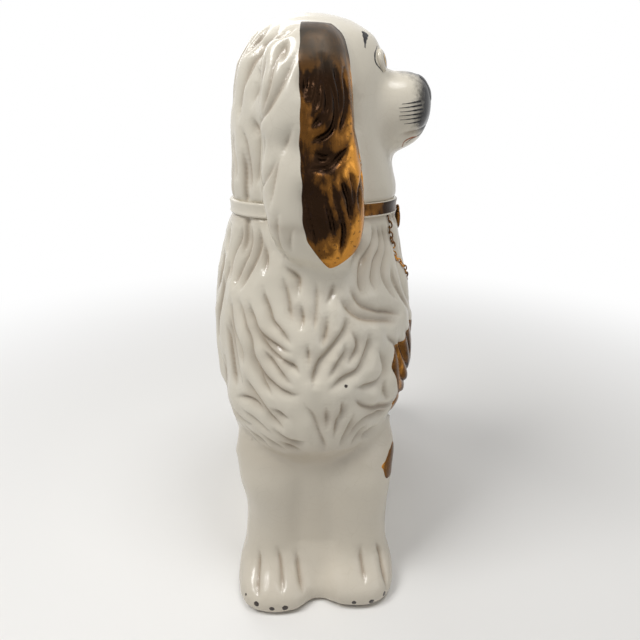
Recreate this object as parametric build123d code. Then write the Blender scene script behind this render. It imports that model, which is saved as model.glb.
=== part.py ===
from build123d import *
import os
from math import copysign, cos, pi, sin

# Driving sizes of the figure, in millimetres. The face looks along -Y, the chest along -X,
# the foot rim stands on Z = 0 and the origin is the middle of the foot.
crown_height = 334.0
chest_reach = 97.0
rump_reach = 118.0
front_depth = 64.0
back_depth = 62.0
seam_y = 5.0

# Pressed clay
wall = 5.5
crown_wall = 10.0
base_thickness = 6.0
vent_radius = 4.0
vent_x = 40.0
hair_relief = 2.2
seam_roll_width = 14.0
seam_roll_thickness = 2.5

# Haunches
haunch_inset = 54.0
haunch_x = rump_reach - haunch_inset
haunch_height = 52.0
haunch_half_length = 49.0
haunch_half_height = 60.0
haunch_front_depth = 58.0
haunch_back_depth = 54.0

# Muzzle
head_x = -33.0
muzzle_reach = 59.0
muzzle_half_width = 25.0
muzzle_drop = 44.0
muzzle_height = crown_height - muzzle_drop
muzzle_half_height = 22.0
nose_length = 14.0
nose_slope = 15.0

# Ears
ear_root_drop = 9.0
ear_top = crown_height - ear_root_drop
ear_drop = 112.0
ear_offset = 60.0
ear_half_depth = 28.0
left_ear_spread = 14.0
left_ear_advance = 12.0
ear_lock_relief = 1.6

# Legs, paws and tail
leg_height = 112.0
leg_half_width = 21.0
leg_inset = 7.0
leg_reach = chest_reach - leg_inset
front_leg_y = -23.0
back_leg_y = 27.0
back_leg_lead = 6.0
toe_groove_width = 2.0
toe_groove_depth = 2.2
hind_paw_length = 80.0
hind_paw_reach = 30.0
hind_paw_height = 30.0
hind_paw_width = 34.0
hind_paw_front_inset = 4.0
hind_paw_back_inset = 15.0
hind_paw_front_y = seam_y - front_depth + hind_paw_front_inset
hind_paw_back_y = seam_y + back_depth - hind_paw_back_inset
tail_thickness = 14.0
tail_height = 97.0
tail_inset = 7.0
tail_side_inset = 16.0
tail_reach = rump_reach - tail_inset
tail_side_y = seam_y - front_depth + tail_side_inset

# Collar, padlock and chain
collar_relief = 2.4
padlock_radius = 5.8
padlock_thickness = 2.4
shackle_radius = 3.2
shackle_wire = 0.9
link_pitch = 6.3
link_half_length = 3.9
link_half_width = 2.5
link_band = 1.25
link_thickness = 2.2
seating = 0.5

# Eyes and thin coats
eye_radius = 5.6
eye_relief = 2.2
eye_spacing = 17.0
eye_drop = 23.0
eye_height = crown_height - eye_drop
coat_thickness = 0.5
chest_patch_radius = 28.0
shoulder_patch_radius = 20.0
haunch_patch_radius = 27.0
leg_patch_radius = 10.0

overrun = 12.0
probe = 0.5
body_points = 60
cavity_points = 20
limb_points = 20
ear_points = 24
patch_points = 24
dome_points = 14

# Levels of the body, foot to crown: height as a share of the crown height, chest, rump, front and
# back as shares of the reaches and the depths, how square the outline is, depth of the hair at the
# chest and at the rump, and how many locks the hair leans towards the chest.
body_shares = [
    (0.0000, 1.021, 0.915, 0.625, 0.615, 3.2, 0.0, 0.0, 0.0),
    (0.0280, 1.000, 0.949, 0.625, 0.615, 3.2, 0.0, 0.0, 0.0),
    (0.0620, 0.925, 0.980, 0.610, 0.600, 3.0, 0.0, 0.0, 0.2),
    (0.1020, 0.860, 0.992, 0.595, 0.585, 2.9, 0.0, 0.5, 0.5),
    (0.1480, 0.848, 0.980, 0.597, 0.590, 2.8, 0.0, 0.8, 0.9),
    (0.1990, 0.848, 0.949, 0.655, 0.655, 2.7, 0.0, 1.0, 1.2),
    (0.2350, 0.850, 0.914, 0.715, 0.730, 2.6, 0.0, 1.0, 1.4),
    (0.2620, 0.852, 0.886, 0.775, 0.795, 2.5, 0.0, 1.0, 1.5),
    (0.2850, 0.862, 0.860, 0.818, 0.838, 2.4, 0.0, 1.0, 1.5),
    (0.3020, 0.895, 0.836, 0.848, 0.866, 2.4, 0.6, 1.0, 1.4),
    (0.3250, 0.945, 0.806, 0.885, 0.898, 2.4, 1.0, 1.0, 1.2),
    (0.3620, 0.990, 0.766, 0.935, 0.942, 2.3, 1.0, 1.0, 0.8),
    (0.4050, 1.000, 0.705, 0.980, 0.980, 2.3, 1.0, 1.0, 1.0),
    (0.4500, 1.000, 0.647, 1.000, 1.000, 2.2, 1.0, 1.0, 0.9),
    (0.4950, 0.979, 0.579, 1.000, 1.000, 2.2, 1.0, 1.0, 0.4),
    (0.5400, 0.948, 0.502, 0.982, 0.988, 2.2, 1.0, 1.0, 0.5),
    (0.5850, 0.897, 0.418, 0.938, 0.946, 2.2, 0.9, 0.9, 0.4),
    (0.6310, 0.835, 0.317, 0.874, 0.876, 2.2, 0.8, 0.8, 0.0),
    (0.6670, 0.784, 0.205, 0.822, 0.818, 2.2, 0.7, 0.7, 0.1),
    (0.6970, 0.753, 0.104, 0.784, 0.748, 2.3, 0.4, 0.4, 0.0),
    (0.7075, 0.732, 0.042, 0.746, 0.705, 2.3, 0.0, 0.0, 0.0),
    (0.7305, 0.732, 0.042, 0.744, 0.704, 2.3, 0.0, 0.0, 0.0),
    (0.7440, 0.753, 0.059, 0.757, 0.734, 2.3, 0.3, 0.3, 0.0),
    (0.8050, 0.773, 0.076, 0.676, 0.706, 2.3, 0.6, 0.6, 0.4),
    (0.8780, 0.784, 0.085, 0.622, 0.676, 2.2, 0.7, 0.7, 0.1),
    (0.9120, 0.766, 0.068, 0.612, 0.650, 2.2, 0.6, 0.6, 0.3),
    (0.9420, 0.728, 0.034, 0.580, 0.604, 2.1, 0.4, 0.4, 0.1),
    (0.9660, 0.670, -0.017, 0.510, 0.505, 2.1, 0.2, 0.2, 0.0),
    (0.9850, 0.580, -0.093, 0.395, 0.376, 2.0, 0.0, 0.0, 0.0),
    (0.9955, 0.474, -0.178, 0.240, 0.232, 2.0, 0.0, 0.0, 0.0),
    (1.0000, 0.381, -0.245, 0.080, 0.080, 2.0, 0.0, 0.0, 0.0),
]
collar_low_share = 0.7075
collar_high_share = 0.7305

# Levels where the hollow inside changes its taper
cavity_shares = [0.062, 0.199, 0.262, 0.302, 0.362, 0.495, 0.585, 0.667, 0.7075, 0.7305, 0.878, 0.942]

# Muzzle from the cheeks to the nose: reach, half width, low and high edge, squareness
muzzle_shares = [
    (0.05, 1.16, -1.45, 0.86, 2.2),
    (0.42, 1.16, -1.40, 0.88, 2.2),
    (0.56, 1.06, -1.24, 0.86, 2.2),
    (0.68, 0.98, -1.04, 0.84, 2.3),
    (0.80, 0.88, -0.86, 0.80, 2.4),
    (0.90, 0.74, -0.72, 0.74, 2.4),
    (0.96, 0.54, -0.54, 0.64, 2.3),
    (1.00, 0.28, -0.24, 0.44, 2.2),
]

# Ear from its root to its tip: drop, outer and inner edge as shares of the offset from the middle
# of the head, front and back edge as shares of the half depth, squareness
ear_shares = [
    (0.00, 0.62, 0.30, -0.20, 0.62, 2.2),
    (0.05, 0.78, 0.36, -0.36, 0.80, 2.4),
    (0.13, 0.87, 0.42, -0.44, 0.92, 2.4),
    (0.22, 0.94, 0.46, -0.48, 0.98, 2.5),
    (0.32, 0.97, 0.48, -0.54, 1.00, 2.6),
    (0.42, 0.98, 0.48, -0.60, 0.98, 2.6),
    (0.48, 0.95, 0.50, -0.66, 0.94, 2.6),
    (0.55, 1.00, 0.48, -0.74, 1.00, 2.6),
    (0.66, 1.00, 0.48, -0.79, 1.00, 2.6),
    (0.76, 0.98, 0.50, -0.81, 0.92, 2.5),
    (0.86, 0.95, 0.54, -0.78, 0.84, 2.4),
    (0.94, 0.90, 0.62, -0.64, 0.60, 2.3),
    (1.00, 0.82, 0.70, -0.50, 0.08, 2.2),
]
ear_lock_count = 5
ear_lock_turn = 1.4

# Foreleg from the table to the hair: height, chest edge and hind edge as shares of the reach,
# half width, squareness
leg_shares = [
    (0.00, 1.12, 0.55, 1.12, 2.6),
    (0.04, 1.16, 0.55, 1.17, 2.6),
    (0.10, 1.16, 0.55, 1.18, 2.5),
    (0.15, 1.10, 0.55, 1.13, 2.4),
    (0.20, 1.02, 0.55, 1.02, 2.4),
    (0.27, 0.97, 0.55, 0.96, 2.4),
    (0.38, 0.95, 0.55, 0.94, 2.3),
    (0.55, 0.95, 0.55, 0.97, 2.3),
    (0.72, 0.96, 0.55, 1.10, 2.3),
    (0.84, 0.93, 0.55, 1.18, 2.3),
    (1.00, 0.80, 0.55, 0.96, 2.3),
]
toe_gap_shares = [-0.38, 0.38]
toe_rows = 6

# Hind paw along the side under the haunch: height, toe and heel, outer and inner edge
hind_paw_shares = [
    (0.00, 0.03, 0.94, 0.05, 1.00),
    (0.20, 0.00, 0.99, 0.00, 1.00),
    (0.45, 0.03, 1.00, 0.03, 1.00),
    (0.66, 0.14, 0.98, 0.12, 1.00),
    (0.84, 0.32, 0.94, 0.26, 1.00),
    (1.00, 0.56, 0.86, 0.48, 1.00),
]

# Course of the tail from its root to its tip: along the reach, across the side, up, thickness
tail_shares = [
    (0.66, 0.56, 0.14, 0.80),
    (0.84, 0.68, 0.18, 0.95),
    (0.95, 0.82, 0.34, 1.04),
    (0.95, 0.98, 0.58, 1.06),
    (0.86, 1.08, 0.80, 1.00),
    (0.73, 1.16, 0.88, 0.86),
    (0.63, 1.20, 0.82, 0.62),
    (0.59, 1.21, 0.72, 0.30),
]

# Course of the chain over the front: along the chest or the rump reach, up the crown height
chain_shares = [
    (-0.495, 0.702),
    (-0.465, 0.655),
    (-0.360, 0.590),
    (-0.160, 0.545),
    (0.060, 0.535),
    (0.240, 0.560),
    (0.350, 0.605),
]

# Middles of the lustre patches: along the chest or the rump reach, up the crown or the leg height
chest_patch_share = (-0.515, 0.434)
shoulder_patch_share = (0.042, 0.365)
haunch_patch_share = (0.560, 0.204)
leg_patch_share = 0.786

# Swells and hollows of a coat's edge, where the brush left it: waves round the patch, height
patch_wave_shares = [(3, 0.07), (5, 0.04)]

# An eye's round from its rim to its top: radius, relief
dome_shares = [(1.0, 0.0), (0.92, 0.42), (0.74, 0.72), (0.46, 0.92), (0.14, 1.0)]


def level_at(height_share):
    """The body's row of shares at any height, taken between the rows around it."""
    for low, high in zip(body_shares, body_shares[1:]):
        if height_share <= high[0]:
            part = (height_share - low[0]) / (high[0] - low[0])
            return [a + part * (b - a) for a, b in zip(low, high)]
    return list(body_shares[-1])


def rounded(value, squareness):
    """A sine or cosine pushed out towards a square, keeping its sign."""
    return copysign(abs(value) ** (2 / squareness), value)


def haunch_depth(x, z, depth):
    """How far from the seam the haunch reaches at a place on the side of the body."""
    across = (x - haunch_x) / haunch_half_length
    up = (z - haunch_height) / haunch_half_height
    inside = 1 - across * across - up * up
    return depth * inside ** 0.5 if inside > 0 else 0.0


def hollow_between_locks(row, step, points):
    """How deep the hair sinks at a point of the outline: at every other point, but not on the face."""
    on_face = row[0] > collar_high_share and step > points / 2
    if step % 2 == 0 or on_face:
        return 0.0
    rump_side = (1 + cos(2 * pi * step / points)) / 2
    return hair_relief * (row[7] * rump_side + row[6] * (1 - rump_side))


def outline(row, points, inset=0.0, plain=False):
    """The closed outline of the body at one level, starting at the rump end of the seam."""
    height_share, chest, rump, front, back, squareness = row[:6]
    z = height_share * crown_height
    ring = []
    for step in range(points):
        angle = 2 * pi * step / points
        sunk = inset
        if not plain:
            angle += 2 * pi / points * row[8] * sin(angle)
            sunk += hollow_between_locks(row, step, points)
        low = -chest * chest_reach + sunk
        high = rump * rump_reach - sunk
        side = abs(rounded(sin(angle), squareness))
        x = (low + high) / 2 + (high - low) / 2 * rounded(cos(angle), squareness)
        if step % (points // 2) == 0:
            y = 0.0
        elif step < points / 2:
            haunch = 0.0 if plain else haunch_depth(x, z, haunch_back_depth) - inset
            y = max(side * (back * back_depth - sunk), haunch)
        else:
            haunch = 0.0 if plain else haunch_depth(x, z, haunch_front_depth) - inset
            y = -max(side * (front * front_depth - sunk), haunch)
        ring.append(Vector(x, seam_y + y, z))
    return ring


def oval(z, x_low, x_high, y_low, y_high, squareness=2.0, points=limb_points, ripple=None):
    """A closed rounded outline at one level, its radius rippled where that is asked for."""
    ring = []
    for step in range(points):
        angle = 2 * pi * (step + 0.5) / points
        swell = 1 + ripple(angle) if ripple else 1
        x = (x_low + x_high) / 2 + (x_high - x_low) / 2 * swell * rounded(cos(angle), squareness)
        y = (y_low + y_high) / 2 + (y_high - y_low) / 2 * swell * rounded(sin(angle), squareness)
        ring.append(Vector(x, y, z))
    return ring


def flat_face(*corners):
    """A flat face with the given corners."""
    return Face(Wire(Polyline(*corners, close=True).edges()))


def stacked(rings):
    """A closed solid through a stack of outlines, with flat facets between neighbours."""
    faces = [flat_face(*rings[0]), flat_face(*rings[-1])]
    for low, high in zip(rings, rings[1:]):
        for index in range(len(low)):
            after = (index + 1) % len(low)
            faces.append(flat_face(low[index], low[after], high[after]))
            faces.append(flat_face(low[index], high[after], high[index]))
    return Solid(Shell(faces))


def half(ring, back):
    """The part of an outline on one side of the mould seam."""
    middle = len(ring) // 2
    return ring[: middle + 1] if back else ring[middle:] + ring[:1]


def side_block(back):
    """A block that holds everything on one side of the mould seam."""
    edge = Align.MIN if back else Align.MAX
    size = crown_height * 4
    return Pos(0, seam_y, 0) * Box(size, size, size, align=(Align.CENTER, edge, Align.CENTER))


def front_y(x, z):
    """Where the front of the body lies over a point of the seam plane."""
    height_share, chest, rump, front, back, squareness = level_at(z / crown_height)[:6]
    low = -chest * chest_reach
    high = rump * rump_reach
    across = min(abs(x - (low + high) / 2) / ((high - low) / 2), 1.0)
    depth = front * front_depth * (1 - across ** squareness) ** (1 / squareness)
    return seam_y - max(depth, haunch_depth(x, z, haunch_front_depth))


def front_plane(x, z):
    """A plane seated a little into the front of the body, facing out of it."""
    slope_x = (front_y(x + probe, z) - front_y(x - probe, z)) / (probe + probe)
    slope_z = (front_y(x, z + probe) - front_y(x, z - probe)) / (probe + probe)
    outward = Vector(slope_x, -1, slope_z).normalized()
    return Plane(Vector(x, front_y(x, z), z) - outward * seating, z_dir=outward)


def make_body():
    """The full outside of the body as a front and a back block."""
    front = stacked([half(outline(row, body_points), False) for row in body_shares])
    back = stacked([half(outline(row, body_points), True) for row in body_shares])
    return front, back


def cavity_rows():
    """Rows of the hollow inside, from the table to the thick crown."""
    shares = [0, base_thickness / crown_height, 1 - crown_wall / crown_height]
    return [level_at(share) for share in sorted(shares + cavity_shares)]


def make_hollow(rows, inset):
    """The hollow inside between some of its levels, a given distance in from the outside."""
    return stacked([outline(row, cavity_points, inset, True) for row in rows])


def make_base_slab(rows):
    """The slab that closes the foot, with the vent that lets air out in the kiln."""
    vent = Pos(vent_x, seam_y, 0) * Cylinder(vent_radius, base_thickness * 3)
    return make_hollow(rows[:2], wall) - vent


def make_seam_roll(rows):
    """The roll of soft clay pressed over the seam on the inside."""
    size = crown_height * 4
    band = Pos(0, seam_y, 0) * Box(size, seam_roll_width, size)
    return (make_hollow(rows[1:], wall) & band) - make_hollow(rows[1:-1], wall + seam_roll_thickness)


def make_muzzle(thickness=0.0):
    """The muzzle, through upright outlines from the cheeks to the flat of the nose."""
    rings = []
    for reach, width, low, high, squareness in muzzle_shares:
        half_width = width * muzzle_half_width + thickness
        bottom = muzzle_height + low * muzzle_half_height - thickness
        top = muzzle_height + high * muzzle_half_height + thickness
        y = -reach * muzzle_reach - thickness
        flat = oval(0, -half_width, half_width, bottom, top, squareness)
        rings.append([Vector(head_x + point.X, y, point.Y) for point in flat])
    return stacked(rings)


def make_nose_enamel(muzzle):
    """The black enamel over the end of the muzzle, a skin that ends behind the nostrils."""
    size = muzzle_reach * 4
    ahead = Box(size, size, size, align=(Align.CENTER, Align.MAX, Align.CENTER))
    above = Box(size, size, size, align=(Align.CENTER, Align.CENTER, Align.MIN))
    ahead = Pos(head_x, nose_length - muzzle_reach, muzzle_height) * ahead
    above = Pos(head_x, -muzzle_reach, muzzle_height - muzzle_half_height / 3) * Rot(nose_slope, 0, 0) * above
    return (make_muzzle(coat_thickness) & ahead & above) - muzzle


def make_ear(side, spread, advance):
    """One hanging ear of rippled locks, on the chest side or the rump side of the head."""
    rings = []
    for drop, outer, inner, front, back, squareness in ear_shares:
        x_outer = head_x + side * (outer * ear_offset + spread * drop)
        x_inner = head_x + side * (inner * ear_offset + spread * drop / 2)
        y_low = front * ear_half_depth - advance * drop
        y_high = back * ear_half_depth - advance * drop
        z = ear_top - drop * ear_drop
        relief = ear_lock_relief / ear_half_depth * sin(pi * drop)

        def ripple(angle):
            return relief * (cos(ear_lock_count * angle + 2 * pi * ear_lock_turn * drop) - 1) / 2

        x_low = min(x_outer, x_inner)
        x_high = max(x_outer, x_inner)
        rings.append(oval(z, x_low, x_high, y_low, y_high, squareness, ear_points, ripple))
    return stacked(rings)


def make_toe_groove(lead):
    """A thin blade that follows the top of the paw a little below its surface."""
    inner = []
    for up, chest, hind, width, squareness in leg_shares[:toe_rows]:
        x = -chest * leg_reach - lead * max(1 - up * 4, 0) + toe_groove_depth
        inner.append(Vector(x, 0, up * leg_height))
    outer_x = -leg_reach * 2
    outline_points = inner + [Vector(outer_x, 0, inner[-1].Z), Vector(outer_x, 0, 0)]
    return extrude(flat_face(*outline_points), toe_groove_width / 2, both=True)


def make_leg_stock(y_middle, lead, thickness=0.0):
    """The plain round form of a foreleg and its paw, or of a coat on it."""
    rings = []
    for up, chest, hind, width, squareness in leg_shares:
        x_low = -chest * leg_reach - lead * max(1 - up * 4, 0) - thickness
        half_width = width * leg_half_width + thickness
        y_low = y_middle - half_width
        y_high = y_middle + half_width
        rings.append(oval(up * leg_height, x_low, -hind * leg_reach, y_low, y_high, squareness))
    return stacked(rings)


def make_foreleg(y_middle, lead):
    """A foreleg with its paw, the three toes parted by grooves."""
    leg = make_leg_stock(y_middle, lead)
    for share in toe_gap_shares:
        leg = leg - Pos(0, y_middle + share * leg_half_width, 0) * make_toe_groove(lead)
    return leg


def make_hind_paw(y_outer):
    """The long hind paw that lies along the side under the haunch."""
    inward = -1 if y_outer > seam_y else 1
    rings = []
    for up, toe, heel, outer, inner in hind_paw_shares:
        x_low = -hind_paw_reach + toe * hind_paw_length
        x_high = -hind_paw_reach + heel * hind_paw_length
        y_near = y_outer + inward * outer * hind_paw_width
        y_far = y_outer + inward * inner * hind_paw_width
        y_low = min(y_near, y_far)
        y_high = max(y_near, y_far)
        rings.append(oval(up * hind_paw_height, x_low, x_high, y_low, y_high, leg_shares[0][4]))
    return stacked(rings)


def make_tail():
    """The tail, a tapered round bar that curls up the rump and over the haunch."""
    centres = []
    for along, across, up, thick in tail_shares:
        centres.append(Vector(along * tail_reach, across * tail_side_y, up * tail_height))
    path = Spline(*centres)
    rings = []
    stations = 2 * len(centres) - 1
    for station in range(stations):
        place = station / (stations - 1)
        low = tail_shares[station // 2][3]
        high = tail_shares[(station + 1) // 2][3]
        radius = tail_thickness * (low + high) / 2
        plane = Plane(path @ place, x_dir=Vector(0, 1, 0), z_dir=path % place)
        flat = oval(0, -radius, radius, -radius, radius)
        rings.append([plane.from_local_coords(point) for point in flat])
    return stacked(rings)


def make_collar():
    """The collar, a rounded band in relief round the neck."""
    low = level_at(collar_low_share)
    middle = level_at((collar_low_share + collar_high_share) / 2)
    high = level_at(collar_high_share)
    rows = [(low, collar_relief / 2), (middle, collar_relief), (high, collar_relief / 2)]
    outer = stacked([outline(row, body_points, -relief) for row, relief in rows])
    inner = stacked([outline(row, body_points) for row in (low, high)])
    return outer - inner


def make_padlock():
    """The round padlock under the chin, its shackle up against the collar."""
    z = collar_low_share * crown_height - padlock_radius
    body = extrude(Plane.XZ * RegularPolygon(padlock_radius, limb_points), padlock_thickness)
    body = chamfer(body.edges().group_by(Axis.Y)[0], padlock_thickness / 4)
    keyhole = Plane.XZ * SlotOverall(padlock_radius / 2, padlock_radius / 4, rotation=90)
    body = body - Pos(0, -padlock_thickness / 2, 0) * extrude(keyhole, padlock_thickness)
    rings = []
    for step in range(dome_points + 1):
        angle = pi * step / dome_points
        wire = oval(0, -shackle_wire, shackle_wire, -shackle_wire, shackle_wire, 2, dome_points // 2)
        centre = Vector(shackle_radius * cos(angle), -padlock_thickness / 2, shackle_radius * sin(angle))
        plane = Plane(centre, x_dir=Vector(0, 1, 0), z_dir=Vector(-sin(angle), 0, cos(angle)))
        rings.append([plane.from_local_coords(point) for point in wire])
    shackle = Pos(0, 0, padlock_radius * 0.85) * stacked(rings)
    return Pos(head_x, front_y(head_x, z) + seating, z) * (body + shackle)


def make_link():
    """One flat oval link lying on its plane."""
    length = link_half_length
    width = link_half_width
    outer = oval(0, -length, length, -width, width, 2.4, 8)
    inner = oval(0, link_band - length, length - link_band, link_band - width, width - link_band, 2.4, 6)
    return extrude(flat_face(*outer) - flat_face(*inner), link_thickness)


def make_chain():
    """A chain of flat links laid over the chest, each turned to the surface beneath it."""
    points = []
    for along, up in chain_shares:
        reach = chest_reach if along < 0 else rump_reach
        x = along * reach
        points.append(Vector(x, front_y(x, up * crown_height), up * crown_height))
    path = Spline(*points)
    count = int(path.length / link_pitch)
    link = make_link()
    links = []
    for index in range(count):
        share = (index + 0.5) / count
        place = path @ share
        seat = front_plane(place.X, place.Z)
        links.append(Plane(seat.origin, x_dir=path % share, z_dir=seat.z_dir) * link)
    return Part() + links


def make_eye(side):
    """A low round eye seated in the face."""
    seat = front_plane(head_x + side * eye_spacing, eye_height)
    rings = []
    for radius_share, relief_share in dome_shares:
        radius = radius_share * eye_radius
        flat = oval(relief_share * eye_relief, -radius, radius, -radius, radius, 2, dome_points)
        rings.append([seat.from_local_coords(point) for point in flat])
    return stacked(rings)


def patch_column(x, z, radius, stretch):
    """A bar towards the front with the outline of a brushed patch, its edge wavy."""
    ring = []
    for step in range(patch_points):
        angle = 2 * pi * step / patch_points
        reach = radius * (1 + sum(height * sin(waves * angle) for waves, height in patch_wave_shares))
        ring.append(Vector(x + stretch * reach * cos(angle), 0, z + reach * sin(angle)))
    return extrude(flat_face(*ring), front_depth * 2, dir=(0, -1, 0))


def make_leg_patch(leg, front):
    """A thin coat of lustre on the outer side of the front foreleg, under the hair."""
    x = -leg_reach + leg_patch_radius * 2
    column = patch_column(x, leg_patch_share * leg_height, leg_patch_radius, 1)
    column = Pos(0, front_leg_y, 0) * column
    return (make_leg_stock(front_leg_y, 0, coat_thickness) & column) - leg - front


def make_patch(body, place_share, radius, stretch):
    """A thin coat of lustre over a round area of the front."""
    x = place_share[0] * (chest_reach if place_share[0] < 0 else rump_reach)
    z = place_share[1] * crown_height
    column = patch_column(x, z, radius, stretch)
    reach = radius + radius * sum(height for waves, height in patch_wave_shares) + overrun
    rows = [level_at((z - reach) / crown_height)]
    rows += [row for row in body_shares if abs(row[0] * crown_height - z) < reach]
    rows += [level_at((z + reach) / crown_height)]
    skin = stacked([half(outline(row, body_points, -coat_thickness), False) for row in rows])
    return (skin & column) - body


def build_parts():
    """Every piece of the figure by name, each cut to meet its neighbours face to face."""
    front, back = make_body()
    rows = cavity_rows()
    hollow = make_hollow(rows, wall)
    muzzle = make_muzzle()
    collar = make_collar()
    padlock = make_padlock() - front
    leg = make_foreleg(front_leg_y, 0)
    tail = make_tail()
    right_ear = make_ear(-1, 0, 0)
    left_ear = make_ear(1, left_ear_spread, left_ear_advance)
    haunch_coat = make_patch(front, haunch_patch_share, haunch_patch_radius, 1)
    return {
        "front_shell": front + muzzle - hollow,
        "back_shell": back - hollow,
        "seam_roll": make_seam_roll(rows),
        "base_slab": make_base_slab(rows),
        "front_foreleg": leg - front - back,
        "back_foreleg": make_foreleg(back_leg_y, back_leg_lead) - front - back,
        "front_hind_paw": make_hind_paw(hind_paw_front_y) - front,
        "back_hind_paw": make_hind_paw(hind_paw_back_y) - back,
        "tail": tail - front - back,
        "right_ear": right_ear - front - back - collar,
        "left_ear": left_ear - front - back - collar,
        "collar_front": collar & side_block(False),
        "collar_back": collar & side_block(True),
        "padlock": padlock - collar,
        "chain": make_chain() - front - collar,
        "nose_enamel": make_nose_enamel(muzzle),
        "right_eye": make_eye(-1) - front,
        "left_eye": make_eye(1) - front,
        "chest_lustre": make_patch(front, chest_patch_share, chest_patch_radius, 0.8) - leg,
        "shoulder_lustre": make_patch(front, shoulder_patch_share, shoulder_patch_radius, 1.2),
        "haunch_lustre": haunch_coat - tail,
        "foreleg_lustre": make_leg_patch(leg, front),
    }


if __name__ == "__main__":
    os.makedirs("parts", exist_ok=True)
    for name, piece in build_parts().items():
        export_step(piece, f"parts/{name}.step")
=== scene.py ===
"""A hollow pottery spaniel with hair modelled in relief, crackled glaze, copper lustre and a gilt chain."""

import math
import bmesh
import bpy
import numpy as np
from bpy.props import FloatProperty, FloatVectorProperty, IntProperty, PointerProperty
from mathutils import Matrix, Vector
from mathutils.bvhtree import BVHTree


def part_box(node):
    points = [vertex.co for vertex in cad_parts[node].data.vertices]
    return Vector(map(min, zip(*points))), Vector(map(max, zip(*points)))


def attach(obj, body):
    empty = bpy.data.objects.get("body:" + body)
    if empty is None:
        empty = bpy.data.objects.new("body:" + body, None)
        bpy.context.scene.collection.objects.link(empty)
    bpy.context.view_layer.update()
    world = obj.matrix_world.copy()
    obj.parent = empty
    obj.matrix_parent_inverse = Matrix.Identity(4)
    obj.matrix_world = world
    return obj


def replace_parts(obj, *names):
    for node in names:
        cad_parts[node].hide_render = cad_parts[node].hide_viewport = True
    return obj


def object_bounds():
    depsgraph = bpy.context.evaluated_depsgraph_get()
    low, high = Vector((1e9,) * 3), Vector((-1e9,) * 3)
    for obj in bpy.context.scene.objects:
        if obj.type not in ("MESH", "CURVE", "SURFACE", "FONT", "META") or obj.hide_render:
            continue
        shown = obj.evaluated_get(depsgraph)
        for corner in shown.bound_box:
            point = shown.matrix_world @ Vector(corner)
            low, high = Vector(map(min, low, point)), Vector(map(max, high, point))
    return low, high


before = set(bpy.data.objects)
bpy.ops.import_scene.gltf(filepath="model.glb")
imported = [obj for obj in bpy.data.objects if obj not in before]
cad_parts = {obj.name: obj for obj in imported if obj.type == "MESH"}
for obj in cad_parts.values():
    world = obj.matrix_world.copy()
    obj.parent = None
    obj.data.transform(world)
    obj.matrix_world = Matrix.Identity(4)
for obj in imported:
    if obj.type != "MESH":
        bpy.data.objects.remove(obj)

bl_info = {
    "name": "Pottery Spaniel",
    "version": (1, 0, 0),
    "blender": (4, 5, 0),
    "location": "View3D > Sidebar > Spaniel",
    "description": "Models the hair, glaze and lustre of a mantelpiece spaniel on its solid frame",
    "category": "Object",
}

MM = 0.001
CAD_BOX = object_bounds()


def middle_of(name):
    """The middle of a solid's box."""
    return [(low + high) / 2 for low, high in zip(*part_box(name))]


# Places on the solid frame
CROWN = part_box("back_shell")[1][2]
SEAM_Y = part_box("back_shell")[0][1]
COLLAR_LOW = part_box("collar_front")[0][2]
COLLAR_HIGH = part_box("collar_front")[1][2]
NOSE_LOW, NOSE_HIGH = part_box("nose_enamel")
HEAD_X = (NOSE_LOW[0] + NOSE_HIGH[0]) / 2
EAR_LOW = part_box("right_ear")[0]
HAUNCH = middle_of("haunch_lustre")

CLAY_NODES = (
    "front_shell",
    "back_shell",
    "front_foreleg",
    "back_foreleg",
    "front_hind_paw",
    "back_hind_paw",
    "tail",
    "right_ear",
    "left_ear",
    "base_slab",
)

# The picture's camera, in picture points and metres
PICTURE = 640.0
PICTURE_FOCUS = 497.0
PICTURE_MIDDLE_X = 318.7
CAMERA_PLACE = Vector((-0.329, 0.0, 0.280))
CAMERA_PITCH = math.radians(21.03)
SENSOR = 36.0

# Column of the picture where the locks of the chest part to the two sides
PARTING = 312
# Width over which the ears and their lustre end
SOFT_EDGE = 1.4 * MM
# Distance between the grooves of the plain ear halves
EAR_LOCK_SPACING = 8 * MM

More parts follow.
